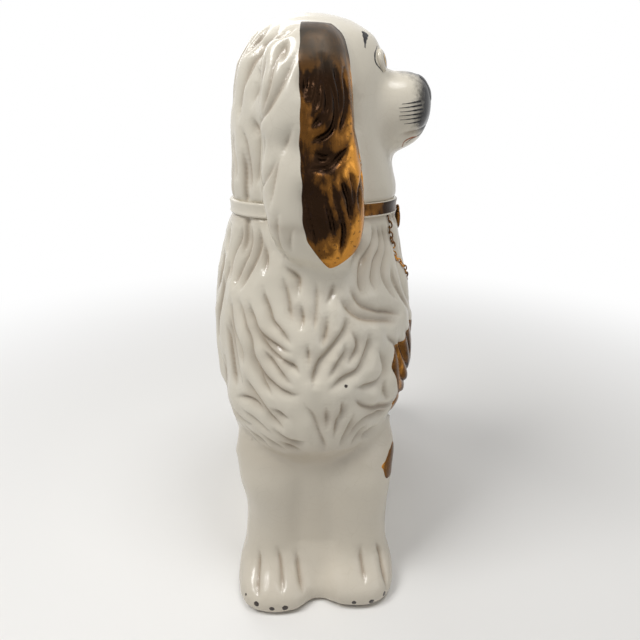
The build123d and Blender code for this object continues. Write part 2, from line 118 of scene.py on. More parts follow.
# Grooves between the locks of hair, traced over the picture, root first
CHEST_GROOVES = [
    [(234, 220), (230, 238), (227, 261)],
    [(243, 222), (241, 238), (233, 260), (230, 285)],
    [(251, 222), (251, 238), (248, 254), (238, 277), (233, 292)],
    [(259, 222), (261, 242), (254, 264), (247, 277), (239, 294)],
    [(232, 294), (232, 315), (235, 333), (241, 348), (245, 370)],
    [(239, 294), (242, 310), (246, 328), (251, 340), (254, 359), (262, 379), (268, 389), (276, 399)],
    [(251, 297), (251, 310), (255, 321), (257, 329), (262, 339), (272, 352), (286, 362), (296, 367),
     (301, 380)],
    [(264, 282), (265, 297), (270, 310), (273, 322), (280, 329), (287, 338), (294, 349)],
    [(253, 320), (261, 334), (271, 342), (282, 349), (295, 354)],
    [(251, 345), (256, 362), (264, 375), (270, 381), (281, 390), (296, 395), (303, 392)],
    [(245, 372), (250, 385), (263, 404), (273, 418), (282, 426), (288, 431)],
    [(238, 396), (247, 396), (258, 404), (267, 414)],
    [(236, 394), (238, 406), (247, 417), (258, 424)],
    [(268, 408), (279, 412), (286, 418), (293, 416)],
    [(282, 261), (286, 268), (299, 277), (299, 287), (298, 302)],
    [(262, 237), (267, 258), (265, 281)],
    [(333, 277), (333, 289), (327, 302), (323, 306)],
    [(336, 294), (345, 306), (353, 315), (365, 320), (384, 321), (396, 322)],
    [(347, 283), (353, 294), (361, 305), (376, 311), (388, 312), (401, 315)],
    [(346, 312), (345, 328), (338, 339), (327, 352), (318, 363), (313, 379), (313, 392)],
    [(344, 340), (345, 353), (337, 365), (330, 376), (326, 382)],
    [(367, 328), (369, 343), (365, 356), (358, 370), (345, 377), (335, 385), (326, 393)],
    [(347, 328), (354, 335), (358, 346), (352, 358), (346, 368)],
    [(375, 347), (382, 358), (383, 371), (377, 381), (365, 386), (350, 387)],
    [(352, 394), (358, 403), (367, 408), (378, 407), (390, 399)],
    [(345, 407), (338, 419), (335, 432), (332, 441)],
    [(386, 406), (369, 417), (356, 428), (347, 440)],
    [(400, 407), (389, 410), (377, 424), (366, 433), (359, 442)],
    [(404, 413), (397, 420), (391, 428), (376, 436)],
    [(366, 220), (374, 231), (373, 243), (364, 259), (360, 271), (360, 287), (366, 301)],
    [(379, 222), (386, 233), (388, 248), (384, 264), (383, 276), (389, 289), (396, 302)],
    [(387, 220), (394, 236), (397, 251), (400, 268)],
    [(373, 221), (381, 232), (382, 246), (375, 262), (372, 280), (376, 296)],
    [(340, 396), (343, 410), (340, 424)],
    [(270, 425), (282, 436), (296, 442), (310, 440)],
    [(300, 300), (303, 318), (300, 334)],
]
HEAD_GROOVES = [
    [(302, 27), (283, 36), (265, 49), (252, 61), (245, 80), (241, 104), (240, 125)],
    [(292, 37), (278, 54), (272, 70), (269, 85), (264, 101), (261, 120)],
    [(300, 50), (292, 64), (284, 82), (276, 97), (266, 113), (261, 133), (260, 151), (259, 172),
     (256, 190)],
    [(257, 64), (261, 80), (256, 96), (252, 112)],
    [(241, 125), (245, 136), (248, 152), (250, 176), (253, 196)],
    [(237, 130), (234, 144), (236, 160), (238, 184)],
    [(253, 114), (257, 128), (260, 139)],
    [(288, 35), (272, 37), (262, 44), (252, 60)],
    [(284, 25), (272, 37), (260, 54), (249, 74), (245, 90)],
    [(288, 37), (284, 54), (281, 66)],
]
WHITE_EAR_GROOVES = [
    [(281, 152), (272, 168), (265, 182), (262, 200), (262, 226), (267, 252), (272, 262)],
    [(282, 206), (279, 222), (280, 240), (286, 258), (298, 270)],
    [(300, 222), (292, 232), (291, 246), (298, 258)],
    [(284, 150), (276, 172), (273, 194), (272, 214)],
    [(296, 120), (287, 142), (280, 160)],
]
LUSTRED_EAR_GROOVES = [
    [(321, 52), (325, 66), (331, 84), (336, 98), (337, 115), (332, 132), (318, 141), (302, 143)],
    [(340, 60), (344, 74), (347, 94), (346, 115), (342, 129), (335, 141)],
    [(316, 60), (313, 77), (311, 94), (306, 112)],
    [(326, 62), (326, 82), (328, 101), (325, 118), (318, 130)],
    [(303, 171), (316, 169), (328, 167), (335, 160), (345, 151), (353, 142)],
    [(331, 178), (335, 194), (340, 212), (345, 229), (344, 246), (337, 260)],
    [(345, 159), (352, 173), (356, 188), (354, 205), (349, 216)],
    [(308, 176), (306, 198), (309, 218), (313, 234), (317, 252)],
    [(320, 182), (319, 204), (322, 226), (328, 246)],
    [(356, 150), (360, 170), (360, 192), (357, 214)],
    [(312, 148), (318, 156), (330, 156), (338, 150)],
    [(309, 62), (306, 82), (304, 104)],
    [(331, 56), (337, 74), (341, 92), (341, 110), (337, 124)],
    [(320, 60), (320, 78), (319, 94), (315, 110), (305, 122)],
    [(324, 108), (319, 122), (306, 132)],
    [(314, 178), (313, 200), (316, 222), (322, 242)],
    [(326, 184), (328, 206), (333, 226), (334, 248)],
    [(338, 168), (345, 186), (351, 206), (350, 232)],
]
# Swells of the ears: place in the picture, radius and height in millimetres
EAR_SWELLS = [
    ((325, 98), 13, 1.6),
    ((335, 208), 13, 1.4),
    ((316, 156), 13, -0.8),
    ((284, 226), 13, 1.6),
    ((357, 254), 6, -3.5),
]
# Swells of the body and legs, given in the same way
BODY_SWELLS = [
    ((403, 262), 18, 2.2),
    ((404, 310), 18, 2.0),
    ((403, 345), 17, 2.6),
    ((395, 382), 17, 4.6),
    ((388, 462), 15, -2.6),
    ((240, 408), 15, 3.4),
    ((243, 462), 14, -1.8),
    ((249, 510), 16, -2.0),
    ((246, 566), 12, -1.6),
]
# Dark chips and specks in the glaze: place in the picture and radius in millimetres
MARKS = [((247, 594), 1.2), ((257, 603), 1.9), ((272, 608), 1.7), ((285, 606.5), 2.1), ((354, 601), 1.9),
         ((371, 600), 2.0), ((383, 593), 1.9), ((267, 206), 0.9), ((342, 277), 1.0), ((346, 386), 1.0),
         ((325, 391.5), 1.0), ((282, 333), 0.8)]
TOE_GROOVES = [
    [(260, 544), (259, 560), (258, 577), (258, 590), (261, 603)],
    [(277, 542), (280, 558), (282, 579), (283, 600)],
    [(296, 545), (298, 564), (301, 583), (303, 598)],
    [(361, 540), (361, 560), (364, 576), (365, 590), (363, 604)],
    [(373, 538), (380, 552), (383, 570), (383, 595)],
]
EAR_TIP = (330, 267.6)
LID = [(377, 46), (375, 54), (376, 63), (383, 72)]
BROW = [(365, 32.5), (365, 39), (365, 48)]
MOUTH = [(402, 147), (404, 142), (411, 138), (419, 135)]
LIP = [(428, 124), (422, 132), (413, 138), (406, 143), (402, 149)]
WHISKERS = [
    [(402, 104), (411, 103), (421, 101)],
    [(399, 108), (410, 107), (422, 105)],
    [(400, 112), (411, 111), (423, 109)],
    [(399, 116), (411, 115), (423, 113)],
    [(400, 120), (411, 119), (422, 117)],
    [(404, 124), (412, 123), (421, 121)],
]
PATCHES = ("chest_lustre", "shoulder_lustre", "haunch_lustre", "foreleg_lustre")
# Course of the chain over the front: along the length, up the height, from the padlock to the shoulder
CHAIN_COURSE = [(0.24, 0.70), (0.253, 0.655), (0.30, 0.59), (0.389, 0.545), (0.49, 0.535), (0.582, 0.56),
                (0.64, 0.605)]
# Section of the collar: millimetres out from the solid collar and share of its height
COLLAR_SECTION = [(-3.4, 0.0), (-0.9, 0.0), (-0.3, 0.06), (0.0, 0.14), (-0.1, 0.17), (-0.35, 0.3),
                  (-0.4, 0.5), (-0.35, 0.7), (-0.15, 0.84), (-0.1, 0.92), (-0.9, 1.0), (-3.4, 1.0)]
# Rings of the padlock's round face: share of its radius and share of its thickness
PADLOCK_RINGS = [(0.985, 0.0), (0.99, 0.5), (0.93, 0.82), (0.84, 0.95), (0.76, 0.88), (0.70, 0.66),
                 (0.40, 0.66), (0.34, 0.84), (0.24, 0.9), (0.20, 0.60)]
# Rings of an eye: share of its radius and share of its height
EYE_RINGS = [(1.0, -0.9), (0.98, -0.1), (0.9, 0.22), (0.72, 0.52), (0.5, 0.74), (0.25, 0.88), (0.08, 0.92)]
EYE_RADIUS = 5.8 * MM
EYE_HEIGHT = 1.7 * MM
# Lamps: place, the place that they look at, width in metres and power in watts
LAMPS = {
    "key": ((-0.35, 0.55, 1.1), (0.0, 0.0, 0.17), 0.45, 8.4),
    "fill": ((-0.7, -0.95, 0.5), (0.0, 0.0, 0.15), 0.8, 1.5),
    "ceiling": ((-0.25, -0.25, 1.25), (0.0, 0.0, 0.2), 0.35, 4.1),
    "rear": ((0.9, 0.4, 0.9), (0.0, 0.0, 0.2), 0.7, 3.0),
}


# Sizes and colours


def measure(name, description, value, low, high):
    """A length that a user may change, its default and its range in millimetres."""
    return FloatProperty(
        name=name, description=description, default=value * MM, min=low * MM, max=high * MM,
        subtype="DISTANCE", unit="LENGTH",
    )


class SpanielSizes(bpy.types.PropertyGroup):
    """Sizes of the modelling that a user may change."""

    grain: measure("Form grain", "Spacing of the clay form before it is refined", 3.2, 2.4, 6.0)
    groove_width: measure("Groove width", "Half width of the sharp line between two locks", 0.9, 0.4, 4.0)
    groove_depth: measure("Groove depth", "Depth of the sharp line between two locks", 0.35, 0.0, 4.0)
    lock_width: measure("Lock width", "Width over which a lock rounds down to its groove", 2.8, 1.0, 12.0)
    lock_relief: measure("Lock relief", "Height of a lock above the hollows beside it", 3.1, 0.0, 6.0)
    overlap: measure("Overlap", "Height of a lock over the next one, like shingles", 1.1, 0.0, 6.0)
    lock_spacing: measure("Lock spacing", "Distance between grooves on the hidden sides", 6.0, 3.0, 20.0)
    hair_seed: IntProperty(
        name="Hair seed", description="Picks the places of the locks on the hidden sides", default=7, min=0,
    )
    link_pitch: measure("Link pitch", "Distance from link to link along the chain", 3.2, 2.0, 10.0)
    link_wire: measure("Link wire", "Radius of the wire of a link", 0.42, 0.2, 2.0)


def colour(name, description, value):
    """A colour property with its default."""
    return FloatVectorProperty(
        name=name, description=description, default=value, subtype="COLOR", size=3, min=0.0, max=1.0
    )


class SpanielColours(bpy.types.PropertyGroup):
    """Colours of the glaze, the lustre and the painted lines."""

    glaze: colour("Glaze", "Cream-white glaze on the high places", (0.655, 0.605, 0.505))
    cast: colour("Cool cast", "Cooler glaze in some places", (0.66, 0.66, 0.63))
    # Painted shade as well as pooling glaze: this darker colour fills the grooves, hollows and sheltered
    # places where shade falls
    pool_and_shade: colour("Pooled glaze", "Glaze that has run into the grooves", (0.335, 0.265, 0.190))
    crack: colour("Cracks", "Stain in the fine cracks of the glaze", (0.36, 0.29, 0.20))
    fleck: colour("Flecks", "Dark flecks and chips in the glaze", (0.03, 0.02, 0.015))
    bare: colour("Bare clay", "Clay where the glaze is missing", (0.62, 0.52, 0.39))
    chip: colour("Chip", "Dirt in the chips of the foot rim", (0.045, 0.03, 0.022))
    lustre: colour("Lustre", "Copper lustre where it is thin and bright", (0.53, 0.235, 0.040))
    lustre_brown: colour("Brown lustre", "Copper lustre of middling thickness", (0.125, 0.052, 0.010))
    lustre_dark: colour("Dark lustre", "Copper lustre where it is thick", (0.020, 0.0085, 0.0028))
    pinhole: colour("Pinholes", "Pinholes in the lustre", (0.02, 0.01, 0.008))
    olive: colour("Olive lustre", "Dull lustre near the crown", (0.032, 0.024, 0.014))
    enamel: colour("Enamel", "Black enamel of the nose, eyes and strokes", (0.012, 0.011, 0.012))
    mouth: colour("Mouth", "Red-brown enamel of the mouth", (0.28, 0.085, 0.03))
    iris: colour("Iris", "Amber of the eyes", (0.55, 0.33, 0.07))
    floor: colour("Floor", "Floor and backdrop", (0.80, 0.79, 0.77))


# Shader helpers


class Wire:
    """A socket that takes part in Python expressions, adding Math nodes to its tree."""

    def __init__(self, tree, socket):
        self.tree = tree
        self.socket = socket

    def math(self, operation, *values, clamp=False):
        """A Math node over some values."""
        node = self.tree.new("ShaderNodeMath", {"operation": operation, "use_clamp": clamp}, *values)
        return node[0]

    def __add__(self, other):
        return self.math("ADD", self, other)

    def __sub__(self, other):
        return self.math("SUBTRACT", self, other)

    def __rsub__(self, other):
        return self.math("SUBTRACT", other, self)

    def __mul__(self, other):
        return self.math("MULTIPLY", self, other)

    __radd__ = __add__
    __rmul__ = __mul__

    def clamped(self):
        """Held between 0 and 1."""
        return self.math("ADD", self, 0.0, clamp=True)

    def step(self, low, high):
        """0 below low, 1 above high and smooth between them."""
        settings = {"interpolation_type": "SMOOTHSTEP"}
        return self.tree.new("ShaderNodeMapRange", settings, self, low, high, 0.0, 1.0)[0]

    def max(self, other):
        """The larger of two values."""
        return self.math("MAXIMUM", self, other)


class Graph:
    """A node tree and the one way that nodes are added to it."""

    def __init__(self, tree):
        self.nodes = tree.nodes
        self.links = tree.links

    def new(self, kind, settings=None, *values, **named):
        """A node of a kind, its settings first and then its sockets, as a list of output wires."""
        node = self.nodes.new(kind)
        for name, value in (settings or {}).items():
            setattr(node, name, value)
        for index, value in enumerate(values):
            self.feed(node.inputs[index], value)
        for name, value in named.items():
            self.feed(node.inputs[name.replace("_", " ")], value)
        return [Wire(self, socket) for socket in node.outputs]

    def feed(self, socket, value):
        """Links a wire to a socket, or sets the socket's own value."""
        if isinstance(value, Wire):
            self.links.new(value.socket, socket)
        elif value is not None:
            socket.default_value = value

    def seen(self):
        """1 where a ray comes from the camera or off something shiny, 0 where it only carries light."""
        path = self.new("ShaderNodeLightPath")
        camera, glossy, through = path[0], path[3], path[6]
        return (camera + glossy + through).clamped()


class Finish(Graph):
    """A material and its surface shader."""

    def __init__(self, name):
        self.material = bpy.data.materials.new(name)
        self.material.use_nodes = True
        super().__init__(self.material.node_tree)
        self.shader = next(node for node in self.nodes if node.type == "BSDF_PRINCIPLED")

    def set(self, **sockets):
        """Sockets of the surface shader, by name."""
        for name, value in sockets.items():
            self.feed(self.shader.inputs[name.replace("_", " ")], value)

    def place(self):
        """Object coordinates in metres."""
        return self.new("ShaderNodeTexCoord")[3]

    def attribute(self, name):
        """A number that the mesh carries."""
        return self.new("ShaderNodeAttribute", {"attribute_name": name})[2]

    def noise(self, place, scale, detail=2.0, roughness=0.5, distortion=0.0):
        """Cloudy noise, its scale in features to the metre."""
        return self.new(
            "ShaderNodeTexNoise", None, Vector=place, Scale=scale, Detail=detail, Roughness=roughness,
            Distortion=distortion,
        )[0]

    def cells(self, place, scale, feature="F1"):
        """Distance to the nearest cell point, or to the nearest cell edge."""
        return self.new("ShaderNodeTexVoronoi", {"feature": feature}, Vector=place, Scale=scale)[0]

    def stretch(self, place, scale):
        """Coordinates, or a colour, scaled by a share for each axis."""
        return self.new("ShaderNodeVectorMath", {"operation": "MULTIPLY"}, place, scale)[0]

    def mix(self, factor, low, high):
        """A colour between two colours."""
        low, high = (tone if isinstance(tone, Wire) else (*tone, 1.0) for tone in (low, high))
        # The node's sockets 1 to 5 mix numbers and vectors, and its third output is the colour
        unused = (None,) * 5
        return self.new("ShaderNodeMix", {"data_type": "RGBA"}, factor, *unused, low, high)[2]

    def bump(self, height, distance, strength=1.0):
        """A normal from a height in metres."""
        return self.new("ShaderNodeBump", None, Strength=strength, Distance=distance, Height=height)[0]


def shade(tone, share):
    """A colour made darker to a share of itself."""
    return tuple(channel * share for channel in tone)


def clay_finish(name, colours, lustred=False, sponged=False):
    """Crackled cream glaze, darkened in the grooves and hollows by glaze that pools there and by painted
    shade, with lustre or sponged black where the mesh says.
    """
    finish = Finish(name)
    place = finish.place()
    height = finish.new("ShaderNodeSeparateXYZ", None, place)[2]
    cloud = finish.noise(place, 22.0, 3.0)
    grain = finish.noise(place, 260.0, 3.0, 0.6)
    hollow = finish.attribute("hollow")
    # Painted shade: the glaze darkens towards the pooling colour in the grooves and hollows, and under the
    # chest hair, the collar and towards the foot, partly as glaze that pools and partly as shade
    pool_and_shade = (hollow * (0.55 + 0.75 * cloud) + finish.attribute("shade_and_pooling") * (0.35 + 0.6 * cloud)).clamped()
    tone = finish.mix(pool_and_shade, colours.glaze, colours.pool_and_shade)
    tone = finish.mix(cloud.step(0.42, 0.72) * 0.10, tone, colours.cast)

    sway = finish.new("ShaderNodeTexNoise", None, Vector=place, Scale=90.0, Detail=2.0)[1]
    wobble = finish.stretch(sway, (0.004, 0.004, 0.004))
    warped = finish.new("ShaderNodeVectorMath", {"operation": "ADD"}, place, wobble)[0]
    wide_crack = 1.0 - finish.cells(warped, 120.0, "DISTANCE_TO_EDGE").step(0.0, 0.022)
    fine_crack = 1.0 - finish.cells(warped, 310.0, "DISTANCE_TO_EDGE").step(0.0, 0.03)
    crackle = (wide_crack * 0.14 + fine_crack * 0.07) * cloud.step(0.30, 0.62)
    tone = finish.mix(crackle.clamped(), tone, colours.crack)

    speck = 1.0 - finish.cells(place, 62.0).step(0.030, 0.050)
    rare = finish.noise(place, 30.0, 0.0).step(0.60, 0.63)
    mark = (finish.attribute("mark") + (grain - 0.5) * 0.5).step(0.45, 0.55)
    tone = finish.mix((speck * rare * 0.85).max(mark), tone, colours.fleck)

    rim = finish.noise(place, 95.0, 2.0)
    under = finish.attribute("foot")
    chipped = (rim - height * 95.0).step(0.50, 0.54) * finish.noise(place, 45.0, 1.0).step(0.46, 0.52)
    tone = finish.mix(chipped, tone, finish.mix(grain.step(0.40, 0.62), colours.chip, colours.bare))
    dusty = finish.mix(grain.step(0.3, 0.7), colours.bare, shade(colours.bare, 0.6))
    tone = finish.mix(under, tone, dusty)
    rough = 0.17 + 0.12 * cloud + 0.22 * crackle + 0.5 * chipped + 0.6 * under
    metal = None
    if lustred:
        gold = finish.attribute("lustre").step(0.42, 0.58)
        worn = 0.24 * finish.attribute("thin") - 0.3 * hollow
        copper, bright = copper_tone(finish, place, grain, colours, worn)
        olive = (height - (CROWN - 34 * MM)).step(0.0, 14 * MM) * (0.6 + 0.4 * cloud)
        copper = finish.mix(olive, copper, colours.olive)
        tone = finish.mix(gold, tone, copper)
        rough = rough * (1.0 - gold) + gold * (0.17 + 0.22 * grain - 0.05 * bright + 0.22 * olive)
        metal = gold * (0.92 - 0.40 * olive)
    if sponged:
        dabs = finish.noise(place, 240.0, 4.0, 0.75)
        black = (finish.attribute("sponge") * 1.1 + (dabs - 0.5) * 0.75).step(0.16, 0.86)
        tone = finish.mix(black, tone, colours.enamel)
    wave = finish.noise(place, 34.0, 1.0)
    relief = wave * 0.9 + grain * 0.05 - crackle * 0.04 - chipped * 0.25
    finish.set(
        Base_Color=tone,
        Roughness=rough.clamped(),
        Metallic=metal,
        Normal=finish.bump(relief, 1.4 * MM, 0.55),
        IOR=1.52,
        Specular_IOR_Level=0.3 if sponged else 0.5,
    )
    return finish.material


def copper_tone(finish, place, grain, colours, worn):
    """Copper lustre from near black where thick to orange gold where thin, and how bright it is."""
    streaks = finish.noise(finish.stretch(place, (1.0, 1.0, 0.25)), 95.0, 4.0, 0.65, 0.8)
    blotch = finish.noise(place, 42.0, 2.0, 0.5, 0.5)
    thin = streaks * 0.70 + blotch * 0.66 - 0.16 + (grain - 0.5) * 0.14 + worn
    bright = thin.step(0.62, 0.80)
    tone = finish.mix(thin.step(0.44, 0.60), colours.lustre_dark, colours.lustre_brown)
    tone = finish.mix(bright, tone, colours.lustre)
    pinholes = finish.noise(place, 420.0, 2.0).step(0.62, 0.70) * 0.6
    return finish.mix(pinholes, tone, colours.pinhole), bright


def lustre_finish(name, colours):
    """Worn copper lustre."""
    finish = Finish(name)
    place = finish.place()
    grain = finish.noise(place, 300.0, 3.0, 0.6)
    finish.set(
        Base_Color=copper_tone(finish, place, grain, colours, 0.10)[0],
        Metallic=0.9,
        Roughness=0.16 + 0.20 * grain,
        Normal=finish.bump(grain, 0.3 * MM, 0.3),
    )
    return finish.material


def enamel_finish(name, tone, rough=0.22):
    """Glossy painted enamel, a little uneven."""
    finish = Finish(name)
    place = finish.place()
    cloud = finish.noise(place, 400.0, 3.0)
    lighter = tuple(min(1.0, channel * 1.6 + 0.01) for channel in tone)
    finish.set(
        Base_Color=finish.mix(cloud.step(0.35, 0.75), tone, lighter),
        Specular_IOR_Level=0.2,
        Roughness=rough + 0.25 * cloud,
        Normal=finish.bump(cloud, 0.2 * MM, 0.3),
    )
    return finish.material


def eye_finish(name, colours):
    """An eye in rings, black pupil, amber iris, dark rim and white, by the reach that its mesh carries."""
    finish = Finish(name)
    reach = finish.attribute("reach")
    cloud = finish.noise(finish.place(), 700.0, 3.0)
    edge = reach + (cloud - 0.5) * 0.06
    tone = finish.mix(edge.step(0.24, 0.29), colours.enamel, colours.iris)
    tone = finish.mix(edge.step(0.50, 0.55), tone, colours.enamel)
    tone = finish.mix(edge.step(0.58, 0.63), tone, colours.glaze)
    finish.set(Base_Color=tone, Roughness=0.08 + 0.12 * cloud, Normal=finish.bump(cloud, 0.15 * MM, 0.3))
    return finish.material


def bare_clay_finish(name, colours):
    """Unglazed clay with dust, drag marks and a darker stain."""
    finish = Finish(name)
    place = finish.place()
    cloud = finish.noise(place, 30.0, 4.0, 0.6)
    grit = finish.noise(place, 900.0, 2.0, 0.7)
    drag = finish.noise(finish.stretch(place, (0.3, 2.2, 1.0)), 120.0, 3.0)
    tone = finish.mix(cloud.step(0.35, 0.70), colours.bare, shade(colours.bare, 0.72))
    tone = finish.mix(drag.step(0.58, 0.70) * 0.4, tone, shade(colours.bare, 0.45))
    finish.set(
        Base_Color=tone,
        Roughness=0.72 + 0.2 * grit,
        Normal=finish.bump(grit * 0.4 + drag, 0.5 * MM, 0.6),
    )
    return finish.material


# Mesh helpers


def make_object(name, mesh, material, body="root"):
    """Adds a finished mesh to the scene as a piece that rides on a body."""
    piece = bpy.data.objects.new(name, mesh)
    bpy.context.scene.collection.objects.link(piece)
    mesh.materials.clear()
    mesh.materials.append(material)
    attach(piece, body)
    return piece


def mesh_from(name, points, faces):
    """A smooth mesh from arrays of points and faces."""
    mesh = bpy.data.meshes.new(name)
    mesh.from_pydata(np.asarray(points).tolist(), [], [tuple(face) for face in np.asarray(faces).tolist()])
    mesh.shade_smooth()
    return mesh


def points_of(mesh, field="co"):
    """A mesh's points as an array, or their normals if asked."""
    values = np.empty(len(mesh.vertices) * 3)
    mesh.vertices.foreach_get(field, values)
    return values.reshape(-1, 3)


def quads_of(mesh):
    """A mesh of quads as an array of corners."""
    corners = np.empty(len(mesh.loops), dtype=np.int64)
    mesh.loops.foreach_get("vertex_index", corners)
    return corners.reshape(-1, 4)


def evaluated(piece):
    """A plain mesh of an object with its modifiers worked out."""
    graph = bpy.context.evaluated_depsgraph_get()
    return bpy.data.meshes.new_from_object(piece.evaluated_get(graph))


def store(mesh, name, values):
    """A number for every point of a mesh."""
    field = mesh.attributes.new(name, "FLOAT", "POINT")
    field.data.foreach_set("value", np.asarray(values, dtype=np.float32))


def solid_tree(*names):
    """A search tree over some solids of the frame."""
    joined = bmesh.new()
    for name in names:
        joined.from_mesh(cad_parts[name].data)
    tree = BVHTree.FromBMesh(joined)
    joined.free()
    return tree


def smooth_path(points, step):
    """Points at about a given step along a smooth line through the given ones."""
    points = np.asarray(points, dtype=float)
    ends = np.vstack([2 * points[0] - points[1], points, 2 * points[-1] - points[-2]])
    runs = []
    for a, b, c, d in zip(ends, ends[1:], ends[2:], ends[3:]):
        count = max(2, int(np.linalg.norm(c - b) / step) + 1)
        t = np.linspace(0, 1, count, endpoint=False)[:, None]
        curve = 2 * b + (c - a) * t + (2 * a - 5 * b + 4 * c - d) * t**2 + (3 * b - a - 3 * c + d) * t**3
        runs.append(curve / 2)
    return np.vstack(runs + [points[-1:]])


def eased(values, rounds):
    """A run of places with its kinks taken out, its ends held."""
    for turn in range(rounds):
        values[1:-1] = (values[:-2] + 2 * values[1:-1] + values[2:]) / 4
    return values


def fade(t, length):
    """0 at both ends of a run from 0 to 1, rising over a share of it."""
    rise = np.clip(np.minimum(t, 1 - t) / length, 0, 1)
    return rise * rise * (3 - 2 * rise)


# The clay form


def clay_blank(grain):
    """The clay solids melted into one smooth skin of quads, each face marked with its own solid."""
    joined = bmesh.new()
    owners = []
    for index, name in enumerate(CLAY_NODES):
        joined.from_mesh(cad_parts[name].data)
        owners += [index] * (len(joined.faces) - len(owners))
    solid_mesh = bpy.data.meshes.new("clay_solids")
    joined.to_mesh(solid_mesh)
    tree = BVHTree.FromBMesh(joined)

    # A plug fills the vent hole, so that the melted skin stays closed
    plug = bmesh.ops.create_cube(joined, size=1.0)["verts"]
    middle = middle_of("base_slab")
    reach = [(high - low) * share for low, high, share in zip(*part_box("base_slab"), (0.8, 0.5, 1.0))]
    for corner in plug:
        corner.co = [m + r * c for m, r, c in zip(middle, reach, corner.co)]
    joined.to_mesh(solid_mesh)
    joined.free()

    blank = bpy.data.objects.new("clay_blank", solid_mesh)
    bpy.context.scene.collection.objects.link(blank)
    remesh = blank.modifiers.new("melt", "REMESH")
    remesh.mode = "VOXEL"
    remesh.voxel_size = grain
    skin = evaluated(blank)
    blank.modifiers.remove(remesh)
    skin = largest_part(skin)
    points = relaxed(points_of(skin), quads_of(skin), rounds=14)
    points[:, 2] = np.maximum(points[:, 2], 0.0)
    skin.vertices.foreach_set("co", points.ravel())
    for name in CLAY_NODES:
        skin.materials.append(bpy.data.materials.new(f"own_{name}"))
    for face in skin.polygons:
        nearest = tree.find_nearest(face.center)
        face.material_index = owners[nearest[2]]
    blank.data = skin
    refine = blank.modifiers.new("refine", "SUBSURF")
    refine.levels = refine.render_levels = 2
    fine = evaluated(blank)
    bpy.data.objects.remove(blank)
    return fine


def largest_part(mesh):
    """The outer skin of a mesh, without the walls of its hollow."""
    work = bmesh.new()
    work.from_mesh(mesh)
    work.faces.ensure_lookup_table()
    seen = set()
    parts = []
    for face in work.faces:
        if face.index in seen:
            continue
        part = [face]
        seen.add(face.index)
        for member in part:
            for edge in member.edges:
                for other in edge.link_faces:
                    if other.index not in seen:
                        seen.add(other.index)
                        part.append(other)
        parts.append(part)
    parts.sort(key=len)
    inner = [face for part in parts[:-1] for face in part]
    bmesh.ops.delete(work, geom=inner, context="FACES")
    work.to_mesh(mesh)
    work.free()
    return mesh


def relaxed(points, quads, rounds):
    """Points smoothed over their neighbours without shrinking, so that flat facets melt."""
    inward = 0.6
    outward_share = 1.04
    edges = np.vstack([quads[:, [0, 1]], quads[:, [1, 2]], quads[:, [2, 3]], quads[:, [3, 0]]])
    count = np.bincount(edges.ravel(), minlength=len(points)).astype(float)[:, None]
    for turn in range(rounds * 2):
        total = np.zeros_like(points)
        for axis in range(3):
            total[:, axis] = np.bincount(edges[:, 0], points[edges[:, 1], axis], len(points))
            total[:, axis] += np.bincount(edges[:, 1], points[edges[:, 0], axis], len(points))
        pull = inward if turn % 2 == 0 else -inward * outward_share
        points = points + pull * (total / count - points)
    return points


